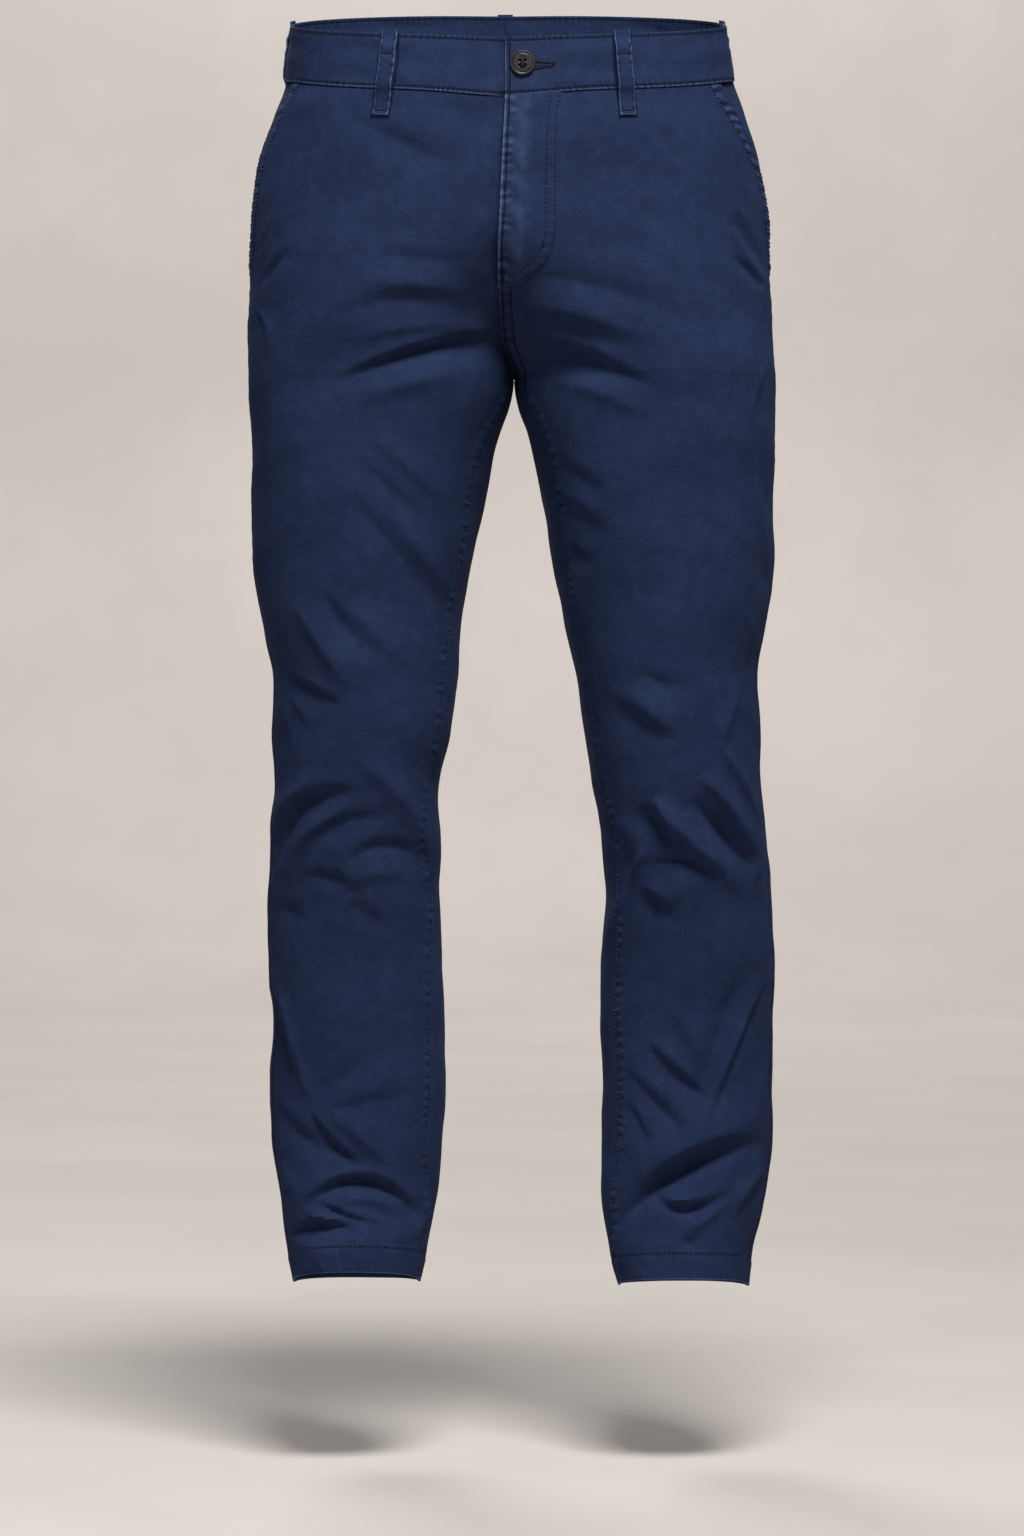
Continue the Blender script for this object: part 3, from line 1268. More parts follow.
@dataclass
class BeltLoops:
    """The five belt loops: narrow doubled straps, tacked above and below the waistband."""

    width: float = 12.5
    thick: float = 1.5
    top: float = 2.0
    bottom: float = -66.0
    stand_off: float = 3.6
    edge_in: float = 0.25
    rows: int = 60
    columns: int = 14

    def lift(self, height: Array) -> Array:
        """How far the strap stands off the cloth at a height below the band's top edge."""
        over_band = smooth(-SIZE.band_height - 7, -SIZE.band_height + 1, height)
        bulge = smooth(-59, -37, height) * smooth(-2, -16, height)
        top_tack = 0.9 * bell(height + 18, 3.0)
        foot = 0.5 * bell(height + 61, 2.2)
        return 0.5 + (SIZE.band_out + 0.5) * over_band + self.stand_off * bulge - top_tack - foot

    def place(self, loop: LoopPlace, height: Array, away: Array) -> tuple[Array, Array]:
        """Points and normals on the cloth under a loop, for heights and distances across it."""
        if loop.side != "centre":
            leg = LEGS[loop.side]
            share = (height - self.bottom) / (self.top - self.bottom)
            middle = loop.bottom + (loop.top - loop.bottom) * share
            angle = middle + away / FORM.arc(leg, height, middle)
            return FORM.frame(leg, FORM.tilted(leg, angle, height), angle)
        found = []
        for name in ("right", "left"):
            leg = LEGS[name]
            angle = FORM.angle_at(leg, height, np.abs(away), Face.BACK)
            found.append(FORM.frame(leg, FORM.tilted(leg, angle, height), angle))
        on_right = (away < 0)[..., None]
        return np.where(on_right, found[0][0], found[1][0]), np.where(on_right, found[0][1], found[1][1])

    def beside(self, leg: Leg, height: Array, angle: Array, arc: Array) -> Array:
        """Signed distances on the cloth from the sides of this leg's loops, below 0 under them."""
        found = [np.full(np.shape(angle), FAR)]
        share = (height - self.bottom) / (self.top - self.bottom)
        for loop in LOOP_PLACES:
            if loop.side == leg.name:
                away = np.abs(angle - loop.bottom - (loop.top - loop.bottom) * share) * arc
                found.append(np.where(height > self.bottom, away - self.width / 2 - 0.9, FAR))
        return nearest(*found)

    def build(self, loop: LoopPlace) -> bpy.types.Object:
        """One loop.

        Args:
            loop: Where it lies.

        Returns:
            The new piece.
        """
        height = np.linspace(self.bottom, self.top, self.rows + 1)[:, None]
        across = np.linspace(-1, 1, self.columns + 1)[None, :]
        height, across = np.broadcast_arrays(height, across)
        away = across * self.width / 2
        points, normals = self.place(loop, height, away)
        normals = normals.mean(1, keepdims=True) + 0 * normals
        lift = self.lift(height)
        edge = np.abs(away) - (self.width / 2 - 1.7)
        pinch = 0.28 * bell(edge, 0.7)
        waves = 0.16 * ripple(height, 6.5, loop.top) * bell(np.abs(across) - 0.8, 0.3)
        out = lift + self.thick - pinch + waves
        marks = {
            "ladder": 0.6 * smooth(0.45, 0.75, np.abs(across)),
            "run": height * MM,
            "edge": np.minimum(self.width / 2 - np.abs(away), height - self.bottom) + self.edge_in,
        }
        outer, inner = raised(points, normals, out), raised(points, normals, lift)
        return wall(f"{loop.name}_belt_loop", outer, inner, marks, 0.45)


class Sewing:
    """Lines of sewing thread, each stitch a small rounded bar pressed into the cloth."""

    RINGS = np.array([-0.5, -0.3, 0.3, 0.5])
    GIRTH = np.array([0.35, 1.0, 1.0, 0.35])
    SINK = np.array([-0.8, 0.25, 0.25, -0.8])
    SIDES = 5
    GAP = 1.5

    def __init__(self, name: str) -> None:
        """Starts an empty set of stitches.

        Args:
            name: The name of the piece that they become.
        """
        self.name = name
        self.middles: list[Array] = []
        self.alongs: list[Array] = []
        self.ups: list[Array] = []
        self.radii: list[Array] = []

    def line(
        self, points: Array, normals: Array, pitch: float = SIZE.stitch, thread: float = SIZE.thread
    ) -> None:
        """Sews along a line on the cloth.

        Args:
            points: The line's points, in order.
            normals: The cloth's normals at them.
            pitch: The distance from stitch to stitch.
            thread: The thread's thickness.
        """
        run = run_along(points)
        count = max(1, int(run[-1] / pitch))
        at = (np.arange(count) + 0.5) * run[-1] / count
        first, last = (sample(at + step, run, points) for step in (-pitch / 2, pitch / 2))
        along = (last - first) * (1 - self.GAP / pitch)
        self.bars((first + last) / 2, along, sample(at, run, normals), thread)

    def bars(self, middles: Array, alongs: Array, ups: Array, thread: float) -> None:
        """Adds stitches by their middles, lengths and normals."""
        self.middles.append(middles)
        self.alongs.append(alongs)
        self.ups.append(ups)
        self.radii.append(np.full(len(middles), thread / 2))

    def tack(
        self, points: Array, normals: Array, sideways: Array, width: float, pitch: float = 0.55
    ) -> None:
        """Sews a bartack: close stitches across a short line, each leaning a little to and fro."""
        run = run_along(points)
        at = np.arange(0, run[-1] + 1e-6, pitch)
        ups = sample(at, run, normals)
        lean = np.where(np.arange(len(at)) % 2, 1, -1)[:, None] * 0.12
        way = np.diff(points, axis=0).mean(0)
        way = way / np.linalg.norm(way)
        self.bars(sample(at, run, points) + ups * 0.18, (sideways + lean * way) * width, ups, 0.42)

    def build(self) -> bpy.types.Object:
        """All the stitches as one piece."""
        middle, along = np.concatenate(self.middles), np.concatenate(self.alongs)
        up, radius = np.concatenate(self.ups), np.concatenate(self.radii)
        length = np.linalg.norm(along, axis=-1, keepdims=True)
        way = along / length
        side = np.cross(way, up)
        side /= np.linalg.norm(side, axis=-1, keepdims=True)
        up = np.cross(side, way)
        turn = np.arange(self.SIDES) * 2 * math.pi / self.SIDES
        rings = []
        for ring, girth, sink in zip(self.RINGS, self.GIRTH, self.SINK):
            centre = middle + way * (ring * length) + up * (sink * radius)[:, None]
            spokes = [
                centre + (side * math.cos(a) + up * math.sin(a)) * (girth * radius)[:, None] for a in turn
            ]
            rings.append(np.stack(spokes, 1))
        points = np.stack(rings, 1).reshape(-1, 3)
        sides, last = self.SIDES, (len(self.RINGS) - 1) * self.SIDES
        quads = [(k, (k + 1) % sides, (k + 1) % sides + sides, k + sides) for k in range(sides)]
        faces = [[v + ring for v in quad] for ring in range(0, last, sides) for quad in quads]
        faces += [[0, 4, 3, 2], [0, 2, 1], [last, last + 1, last + 2, last + 3], [last, last + 3, last + 4]]
        starts = range(0, len(points), last + sides)
        every = [[v + start for v in face] for start in starts for face in faces]
        return mesh_piece(self.name, points, every)


class Tack(NamedTuple):
    """An upright bartack on the fly: its ends, its reach from the centre line, and its width."""

    top: float
    bottom: float
    reach: float
    width: float


FLY_TACKS = (
    Tack(-204.0, -213.5, 5.0, 8.0),
    Tack(-185.5, -190.5, 34.6, 2.8),
)


@dataclass
class Topstitching:
    """Every line of sewing that shows."""

    band_edge: float = 3.0
    band_seam: float = 2.0
    fly_edge: float = 3.2
    pocket_lines: tuple[float, float] = (2.2, 17.0)
    inseam: float = 1.9
    fork_lines: tuple[float, float] = (2.0, 8.6)
    seat_line: float = 2.2
    loop_tacks: tuple[float, float] = (-62.6, -18.0)
    steps: int = 260

    def on_band(self, leg: Leg, height: Array, angle: Array) -> tuple[Array, Array]:
        """Points and normals on the outside of the waistband."""
        z = FORM.tilted(leg, angle, height)
        points, normals = FORM.frame(leg, z, angle)
        run = angle * FORM.arc(leg, z, angle)
        reach = leg.sign * (points[..., 0] - leg.centre(z))
        band = Waistband()
        near = (1 - smooth(0, band.ramp, reach)) * (angle > 0) * (leg.name == "right")
        out = SIZE.band_out + band.swell(height, run, 2.0 + leg.sign) * (1 - near) - band.drop * near
        return raised(points, normals, out), normals

    def band(self) -> bpy.types.Object:
        """The waistband's edge stitching, above its seam, below its top and down its end."""
        sewing = Sewing("waistband_stitches")
        for leg in LEGS.values():
            for height in (-self.band_edge, -SIZE.band_height + self.band_seam):
                ends = [float(FORM.angle_at(leg, height, 1.5, face)) for face in (Face.FRONT, Face.BACK)]
                angle = np.linspace(*ends, self.steps)
                sewing.line(*self.on_band(leg, np.full(self.steps, height), angle))
        left = LEGS["left"]
        height = np.linspace(-SIZE.band_height + self.band_seam, -self.band_edge, 40)
        angle = FORM.angle_at(left, height, Waistband.end_stitch, Face.FRONT)
        sewing.line(*self.on_band(left, height, angle))
        return sewing.build()

    def on_fly(self, z: Array, reach: Array) -> tuple[Array, Array]:
        """Points and normals on the outside of the fly."""
        left = LEGS["left"]
        points, normals = FORM.frame(left, z, FORM.angle_at(left, z, reach, Face.FRONT))
        return raised(points, normals, Fly().out(z, reach)), normals

    def fly(self) -> bpy.types.Object:
        """The fly's edge stitch and its two J lines, the seam under it, and its bartacks."""
        sewing = Sewing("fly_stitches")
        left = LEGS["left"]
        z = np.linspace(-73, SIZE.fly_end_z + 3, 120)
        sewing.line(*self.on_fly(z, np.full(z.shape, self.fly_edge)))
        for line in (OUTER_J, INNER_J):
            path = Fly.j_line(line)
            sewing.line(*self.on_fly(path[:, 0], path[:, 1]), pitch=3.7, thread=1.0)
        z = np.linspace(SIZE.fly_end_z - 1, -268, 60)
        for reach in self.fork_lines:
            angle = FORM.angle_at(left, z, np.full(z.shape, reach), Face.FRONT)
            points, normals = FORM.frame(left, z, angle)
            sewing.line(points, normals)
        for tack in FLY_TACKS:
            z = np.linspace(tack.top, tack.bottom, 12)
            points, normals = self.on_fly(z, np.full(z.shape, tack.reach))
            sewing.tack(points, normals, np.array([1.0, 0, 0]), tack.width, 0.8)
        return sewing.build()

    def pockets(self) -> bpy.types.Object:
        """Two lines beside each slanted pocket edge, and a tack at its foot."""
        sewing = Sewing("pocket_stitches")
        for leg in LEGS.values():
            for away in self.pocket_lines:
                z = np.linspace(-52, SIZE.pocket_end_z + 4, self.steps)
                arc = FORM.arc(leg, z, leg.pocket(z))
                points, normals = FORM.frame(leg, z, leg.pocket(z) + away / arc)
                kept = z < SIZE.waist_tilt * points[:, 1] - SIZE.band_height - 2
                sewing.line(points[kept], normals[kept])
            z = np.linspace(SIZE.pocket_end_z + 4.0, SIZE.pocket_end_z - 3.0, 8)
            angle = leg.pocket(z) + 1.4 / FORM.arc(leg, z, leg.pocket(z))
            points, normals = FORM.frame(leg, z, angle)
            sewing.tack(points, normals, np.cross(normals.mean(0), [0, 0, 1.0]), 2.6)
        return sewing.build()

    def legs(self) -> bpy.types.Object:
        """The inseams' topstitching."""
        sewing = Sewing("inseam_stitches")
        for leg in LEGS.values():
            z = np.linspace(-292, -984, 4 * self.steps)
            seam = FORM.inseam_angle(leg, z)
            sewing.line(*FORM.frame(leg, z, seam - self.inseam / FORM.arc(leg, z, seam)))
        return sewing.build()

    def hems(self) -> bpy.types.Object:
        """The hems' stitching, right round each leg."""
        sewing = Sewing("hem_stitches")
        for leg in LEGS.values():
            angle = np.linspace(-180, 180, 3 * self.steps)
            z = FORM.hem(leg, angle) + SIZE.hem_depth
            sewing.line(*FORM.frame(leg, z, angle), pitch=3.4)
        return sewing.build()

    def seat(self) -> bpy.types.Object:
        """The seat seam's stitching."""
        sewing = Sewing("seat_stitches")
        leg = LEGS["left"]
        z = np.linspace(-24, -276, 2 * self.steps)
        sewing.line(*FORM.frame(leg, z, FORM.angle_at(leg, z, self.seat_line, Face.BACK)))
        return sewing.build()

    def loops(self) -> bpy.types.Object:
        """Two lines along each belt loop, and bartacks at its foot and near its top."""
        sewing = Sewing("belt_loop_stitches")
        loops = BeltLoops()
        for loop in LOOP_PLACES:
            for side in (-1, 1):
                height = np.linspace(loops.bottom + 1.5, loops.top - 1.5, 90)
                away = np.full(height.shape, side * (loops.width / 2 - 1.9))
                points, normals = loops.place(loop, height, away)
                lift = loops.lift(height) + loops.thick - 0.22
                sewing.line(raised(points, normals, lift), normals, pitch=2.8, thread=0.6)
            for level in self.loop_tacks:
                away = np.linspace(-4.6, 4.6, 20)
                height = np.full(away.shape, level)
                points, normals = loops.place(loop, height, away)
                lift = loops.lift(height) + loops.thick - 0.05
                sewing.tack(raised(points, normals, lift), normals, np.array([0, 0, 1.0]), 1.7)
        return sewing.build()


class Turning(NamedTuple):
    """A step of the button's face: how far in, and how far up or down."""

    inset: float
    rise: float


BUTTON_FACE = (
    Turning(1.25, 0.0),
    Turning(0.3, -0.55),
    Turning(0.4, 0.0),
    Turning(0.4, 0.4),
    Turning(2.9, -0.2),
    Turning(1.0, 0.0),
)


@dataclass
class WaistButton:
    """The dished waist button, with the thread that holds it and the buttonhole beside it."""

    x: float = 8.1
    z: float = -49.0
    radius: float = 9.7
    thick: float = 2.9
    clear: float = 0.55
    hole_radius: float = 1.25
    hole_out: float = 2.75
    slit: tuple[float, float] = (17.5, 31.0)
    band_y: float = -107.0

    def seat(self) -> Matrix:
        """The button's place and turn on the band, in metres."""
        left = LEGS["left"]
        angle = FORM.angle_at(left, self.z, self.x - left.centre(self.z), Face.FRONT)
        points, normals = FORM.frame(left, np.array([self.z]), np.array([float(angle)]))
        up = Vector(normals[0]).normalized()
        out = SIZE.band_out + 0.6 + self.clear
        place = (Vector(points[0]) + up * out) * MM
        side = Vector((0, 0, 1)).cross(up).normalized()
        turn = Matrix((side, up.cross(side), up)).transposed().to_4x4()
        return Matrix.Translation(place) @ turn

    def disc(self) -> bpy.types.Object:
        """The button itself: a turned disc with a raised rim, a dished middle and four holes."""
        deselect()
        depth = self.thick * MM
        bpy.ops.mesh.primitive_cylinder_add(
            vertices=96,
            radius=self.radius * MM,
            depth=depth,
            location=(0, 0, depth / 2),
            end_fill_type="NGON",
        )
        disc = bpy.context.object
        disc.name = "waist_button_disc"
        bpy.ops.object.mode_set(mode="EDIT")
        bpy.ops.mesh.select_mode(type="FACE")
        for step in BUTTON_FACE:
            self.pick_top(disc)
            bpy.ops.mesh.inset(thickness=step.inset * MM)
            bpy.ops.transform.translate(value=(0, 0, step.rise * MM))
        bpy.ops.object.mode_set(mode="OBJECT")
        round_off(disc, 0.16, 3, 40)
        for turn in (45, 135, 225, 315):
            self.drill(disc, turn * DEGREE)
        round_off(disc, 0.1, 2, 60)
        activate(disc)
        bpy.ops.object.shade_smooth_by_angle(angle=35 * DEGREE)
        return disc

    @staticmethod
    def pick_top(disc: bpy.types.Object) -> None:
        """Selects the highest level face in edit mode."""
        bpy.ops.mesh.select_all(action="DESELECT")
        bpy.ops.object.mode_set(mode="OBJECT")
        level = [p for p in disc.data.polygons if p.normal.z > 0.95 and len(p.vertices) > 8]
        level[0].select = True
        bpy.ops.object.mode_set(mode="EDIT")

    def drill(self, disc: bpy.types.Object, turn: float) -> None:
        """Cuts one sewing hole through the disc, at an angle round it."""
        deselect()
        x, y = self.hole_out * math.cos(turn), self.hole_out * math.sin(turn)
        bpy.ops.mesh.primitive_cylinder_add(
            vertices=20, radius=self.hole_radius * MM, depth=0.02, location=(x * MM, y * MM, 0)
        )
        tool = bpy.context.object
        apply_modifier(disc, "BOOLEAN", object=tool, operation="DIFFERENCE", solver="EXACT")
        bpy.data.objects.remove(tool)

    def threads(self) -> bpy.types.Object:
        """The sewing thread: two crossed runs over the dish and the shank under it."""
        sewing = Sewing("waist_button_thread")
        out = self.hole_out * math.cos(45 * DEGREE)
        height = self.thick - 0.9
        for shift in (-0.42, 0.0, 0.42):
            for way in (1, -1):
                aside = Vector((way, 1, 0)).normalized().cross(Vector((0, 0, 1))) * shift
                start = Vector((-out * way, -out, height)) + aside
                end = Vector((out * way, out, height)) + aside
                middle, along = np.array([list((start + end) / 2)]), np.array([list((end - start) * 1.1)])
                sewing.bars(middle, along, np.array([[0.0, 0.0, 1.0]]), 0.55)
        turns = np.arange(10) * 36 * DEGREE
        middles = np.stack([1.2 * np.cos(turns), 1.2 * np.sin(turns), 0 * turns + 0.2], -1)
        way = np.tile([0.0, 0.0, 1.9], (10, 1))
        sewing.bars(middles, way, np.stack([np.cos(turns), np.sin(turns), 0 * turns], -1), 0.6)
        return sewing.build()

    def buttonhole(self) -> bpy.types.Object:
        """Close stitches round the slit, with a fanned eye and a tack at its outer end."""
        sewing = Sewing("buttonhole_stitches")
        left = LEGS["left"]
        start, end = self.slit
        x = np.arange(start - 4, end - 1.2, 0.5)
        half = 1.1 + 2.0 * (end - x) / (end - start)
        for side in (-1, 1):
            wander = 0.14 * np.sin(x * 2.1 + side)
            self.radiate(sewing, x, side * half + wander, 0 * x, 0 * x + side)
        fan = np.linspace(-100, 100, 11) * DEGREE
        eye = end - 1.3
        self.radiate(sewing, eye + 1.5 * np.cos(fan), 1.5 * np.sin(fan), np.cos(fan), np.sin(fan))
        z = np.linspace(self.z + 1.9, self.z - 1.9, 9)
        angle = FORM.angle_at(left, z, end + 1.6 - left.centre(z), Face.FRONT)
        points, normals = Topstitching().on_band(left, z - SIZE.waist_tilt * self.band_y, angle)
        sewing.tack(points, normals, np.array([1.0, 0, 0]), 1.8)
        return sewing.build()

    @staticmethod
    def on_band(x: Array, z: Array) -> tuple[Array, Array]:
        """Points and normals on the outside of the band's left half, for places seen from in front."""
        left = LEGS["left"]
        angle = FORM.angle_at(left, z, x - left.centre(z), Face.FRONT)
        base = FORM.base(left, z, angle)
        return Topstitching().on_band(left, z - SIZE.waist_tilt * base[..., 1], angle)

    def radiate(self, sewing: Sewing, x: Array, up: Array, dx: Array, dz: Array) -> None:
        """Adds short stitches at places on the band, each pointing away from the slit."""
        points, normals = self.on_band(x, self.z + up)
        way = np.stack([dx, 0 * dx, dz], -1)
        way -= normals * (way * normals).sum(-1, keepdims=True)
        sewing.bars(points + normals * 0.22, way * 2.2, normals, 0.55)

    def slit_shadow(self) -> bpy.types.Object:
        """The open slit: a thin dark lens of the cloth's cut edge."""
        x = np.linspace(self.slit[0] - 4, self.slit[1] - 0.6, 40)[None, :]
        across = np.array([-1.0, -0.4, 0.4, 1.0])[:, None]
        open_share = np.clip((self.slit[1] - x) / (self.slit[1] - self.slit[0]), 0, 1.2)
        wide = 0.35 + 0.5 * bell(x - self.slit[1] + 1.6, 1.0) + 0.6 * open_share
        points, normals = self.on_band(*np.broadcast_arrays(x, self.z + across * wide))
        return wall("buttonhole_slit", points + normals * 0.16, points - normals * 0.3, {}, 0)


class Socket:
    """A shader socket or number that takes part in sums, as nodes."""

    def __init__(self, shader: Shader, value: bpy.types.NodeSocket | float) -> None:
        """Wraps a socket or number.

        Args:
            shader: The shader it belongs to.
            value: The socket or number.
        """
        self.shader, self.value = shader, value

    def _math(self, operation: str, *others: Socket | float) -> Socket:
        """Adds one Math node."""
        values = dict(enumerate([self, *others]))
        return self.shader.add("ShaderNodeMath", {"operation": operation}, values)

    def __add__(self, other: Socket | float) -> Socket:
        """Adds."""
        return self._math("ADD", other)

    __radd__ = __add__

    def __mul__(self, other: Socket | float) -> Socket:
        """Multiplies."""
        return self._math("MULTIPLY", other)

    def __sub__(self, other: Socket | float) -> Socket:
        """Takes other away."""
        return self._math("SUBTRACT", other)

    def __rsub__(self, other: float) -> Socket:
        """Is taken away from other."""
        return self.shader.number(other)._math("SUBTRACT", self)

    def wave(self) -> Socket:
        """A sine wave from 0 to 1."""
        return self._math("SINE") * 0.5 + 0.5

    def size(self) -> Socket:
        """Its size without its sign."""
        return self._math("ABSOLUTE")

    def at_least(self, other: Socket | float) -> Socket:
        """The larger of the two."""
        return self._math("MAXIMUM", other)

    def soft(self, start: float, end: float) -> Socket:
        """Goes softly from 0 at start to 1 at end."""
        sockets = {"Value": self, "From Min": start, "From Max": end}
        return self.shader.add("ShaderNodeMapRange", {"interpolation_type": "SMOOTHSTEP"}, sockets)


class Shader:
    """Builds one material's nodes."""

    def __init__(self, name: str) -> None:
        """Starts a material with a Principled shader.

        Args:
            name: The material's name.
        """
        self.material = bpy.data.materials.new(name)
        self.material.use_nodes = True
        self.nodes = self.material.node_tree.nodes
        self.links = self.material.node_tree.links
        self.surface = next(n for n in self.nodes if n.type == "BSDF_PRINCIPLED")

    def number(self, value: float) -> Socket:
        """A bare number as part of a sum."""
        return Socket(self, value)

    def add(self, kind: str, settings: dict, sockets: dict, output: str | int = 0) -> Socket:
        """Adds a node.

        Args:
            kind: The node's type.
            settings: Its own settings, set first.
            sockets: Values or links of its inputs, by name or number.
            output: Which output is wanted.

        Returns:
            That output.
        """
        node = self.nodes.new(kind)
        for name, value in settings.items():
            setattr(node, name, value)
        for name, value in sockets.items():
            self.join(node.inputs[name], value)
        return Socket(self, node.outputs[output])

    def join(self, target: bpy.types.NodeSocket, value: Socket | float | tuple) -> None:
        """Links or sets an input."""
        value = value.value if isinstance(value, Socket) else value
        if isinstance(value, bpy.types.NodeSocket):
            self.links.new(value, target)
        else:
            target.default_value = value

    def mix(self, share: Socket | float, first: Socket | tuple, second: Socket | tuple) -> Socket:
        """Mixes two colours."""
        return self.add("ShaderNodeMix", {"data_type": "RGBA"}, {0: share, 6: first, 7: second}, 2)

    def spot(self) -> Socket:
        """The place on the piece, in its own metres."""
        return self.add("ShaderNodeTexCoord", {}, {}, "Object")

    def part(self, vector: Socket, axis: str) -> Socket:
        """One axis of a vector."""
        return self.add("ShaderNodeSeparateXYZ", {}, {0: vector}, axis)

    def vector(self, x: Socket, y: Socket) -> Socket:
        """A level vector of two numbers."""
        return self.add("ShaderNodeCombineXYZ", {}, {0: x, 1: y})

    def noise(self, where: Socket, scale: float, detail: float = 2.0, rough: float = 0.5) -> Socket:
        """Noise of a given scale, from 0 to 1."""
        sockets = {"Vector": where, "Scale": scale, "Detail": detail, "Roughness": rough}
        return self.add("ShaderNodeTexNoise", {}, sockets, "Fac")

    def mark(self, name: str) -> Socket:
        """A piece's own number at each point."""
        return self.add("ShaderNodeAttribute", {"attribute_name": name}, {}, "Fac")

    def set(self, **values: object) -> None:
        """Sets the surface's sockets; an underscore in a name stands for a space."""
        for name, value in values.items():
            self.join(self.surface.inputs[name.replace("_", " ")], value)

    def bump(self, height: Socket, distance: float, strength: float = 1.0) -> None:
        """Feeds a height to the surface's normal."""
        sockets = {"Strength": strength, "Distance": distance, "Height": height}
        self.set(Normal=self.add("ShaderNodeBump", {}, sockets, "Normal"))


Colour = tuple[float, float, float, float]


@dataclass(frozen=True)
class TwillFinish:
    """Fine cotton twill, garment dyed: paler where it is rubbed, darker in its puckers."""

    name: str = "navy_twill"
    body: Colour = (0.0112, 0.0192, 0.0530, 1)
    pale: Colour = (0.0380, 0.0600, 0.1450, 1)
    rubbed: Colour = (0.0720, 0.1080, 0.2350, 1)
    deep: Colour = (0.0026, 0.0042, 0.0130, 1)
    wale: float = 0.00062
    ladder_pitch: float = 0.0082

    def material(self) -> bpy.types.Material:
        """Builds the material."""
        shader = Shader(self.name)
        flat = shader.add("ShaderNodeUVMap", {"uv_map": "Pattern"}, {}, "UV")
        spot = shader.spot()
        u, v = shader.part(flat, "X"), shader.part(flat, "Y")
        across, along = u + v, u - v
        twill = (across * (2 * math.pi / self.wale) + shader.noise(flat, 260.0, 3.0) * 2.6).wave()
        grain = shader.noise(shader.vector(across * 640, along * 210), 1.0, 2.0, 0.6)
        weft = shader.noise(shader.vector(u * 300, v * 1300), 1.0, 2.0, 0.6)
        warp = shader.noise(shader.vector(u * 1500, v * 260), 1.0, 2.0, 0.6)
        cloudy = shader.noise(spot, 11.0, 4.0, 0.6)
        fine = shader.noise(spot, 85.0, 4.0, 0.65)
        ladder, rubbed = shader.mark("ladder"), shader.mark("rubbed")
        drift = shader.noise(spot, 38.0, 2.0)
        patchy = shader.noise(spot, 60.0, 2.0).soft(0.35, 0.6)
        rung = (shader.mark("run") * (2 * math.pi / self.ladder_pitch) + drift * 14.0).wave()
        crest = rung.soft(0.55, 1.0) * ladder * patchy
        hollow = (1 - rung).soft(0.6, 1.0) * ladder * patchy
        trim = shader.mark("edge").soft(1.5, 0.5)
        sewn, hemmed = shader.mark("sewn").size(), shader.mark("hemmed").size()
        line = sewn.soft(1.2, 0.35).at_least(hemmed.soft(1.4, 0.4))
        wear = rubbed * (0.35 + fine * 0.9) + crest * 0.5 + trim * (0.4 + fine * 0.6)
        tone = (cloudy - 0.5) * 0.7 + (fine - 0.5) * 0.9 + (grain - 0.5) * 0.9 + (warp + weft - 1) * 0.35
        plain = shader.mix((tone * 0.5 + 0.10).soft(-0.12, 0.9), self.body, self.pale)
        worn = shader.mix((wear * 0.8).soft(0.0, 1.0), plain, self.rubbed)
        shaded = shader.mix(hollow * 0.8 + line * 0.75 + (1 - twill) * 0.10, worn, self.deep)
        shader.set(Base_Color=shaded, Roughness=0.85, Specular_IOR_Level=0.06)
        shader.set(Sheen_Weight=0.02, Sheen_Roughness=0.5, Sheen_Tint=(0.25, 0.4, 1.0, 1))
        relief = twill * 0.10 + grain * 1.0 + (warp + weft) * 0.2 + rung * ladder * patchy * 1.6 + fine * 2.6
        shader.bump(relief, 0.0003, 1.0)
        return shader.material


@dataclass(frozen=True)
class ThreadFinish:
    """Dark polyester sewing thread."""

    name: str = "navy_thread"
    body: Colour = (0.0022, 0.0034, 0.0100, 1)
    pale: Colour = (0.0080, 0.0120, 0.0330, 1)

    def material(self) -> bpy.types.Material:
        """Builds the material."""
        shader = Shader(self.name)
        spot = shader.spot()
        fibre = shader.noise(spot, 2600.0, 2.0)
        patch = shader.noise(spot, 40.0, 2.0)
        shader.set(Base_Color=shader.mix((fibre * 0.6 + patch * 0.5).soft(0.35, 0.9), self.body, self.pale))
        shader.set(Roughness=0.7, Specular_IOR_Level=0.2)
        shader.bump(fibre, 0.0001, 0.5)
        return shader.material


WORN_THREAD = ThreadFinish("worn_thread", (0.018, 0.029, 0.078, 1), (0.055, 0.082, 0.180, 1))


@dataclass(frozen=True)
class ButtonFinish:
    """Dark brown-black resin, satin, with faint turning marks."""

    name: str = "dark_resin"
    body: Colour = (0.0085, 0.0080, 0.0080, 1)
    pale: Colour = (0.0230, 0.0215, 0.0205, 1)

    def material(self) -> bpy.types.Material:
        """Builds the material."""
        shader = Shader(self.name)
        spot = shader.spot()
        marble = shader.noise(spot, 160.0, 4.0, 0.6)
        grain = shader.noise(spot, 900.0, 3.0)
        shader.set(Base_Color=shader.mix(marble.soft(0.4, 0.75), self.body, self.pale))
        shader.set(Roughness=0.26 + grain * 0.12, Specular_IOR_Level=0.45)
        shader.bump(grain, 0.0001, 0.25)
        return shader.material


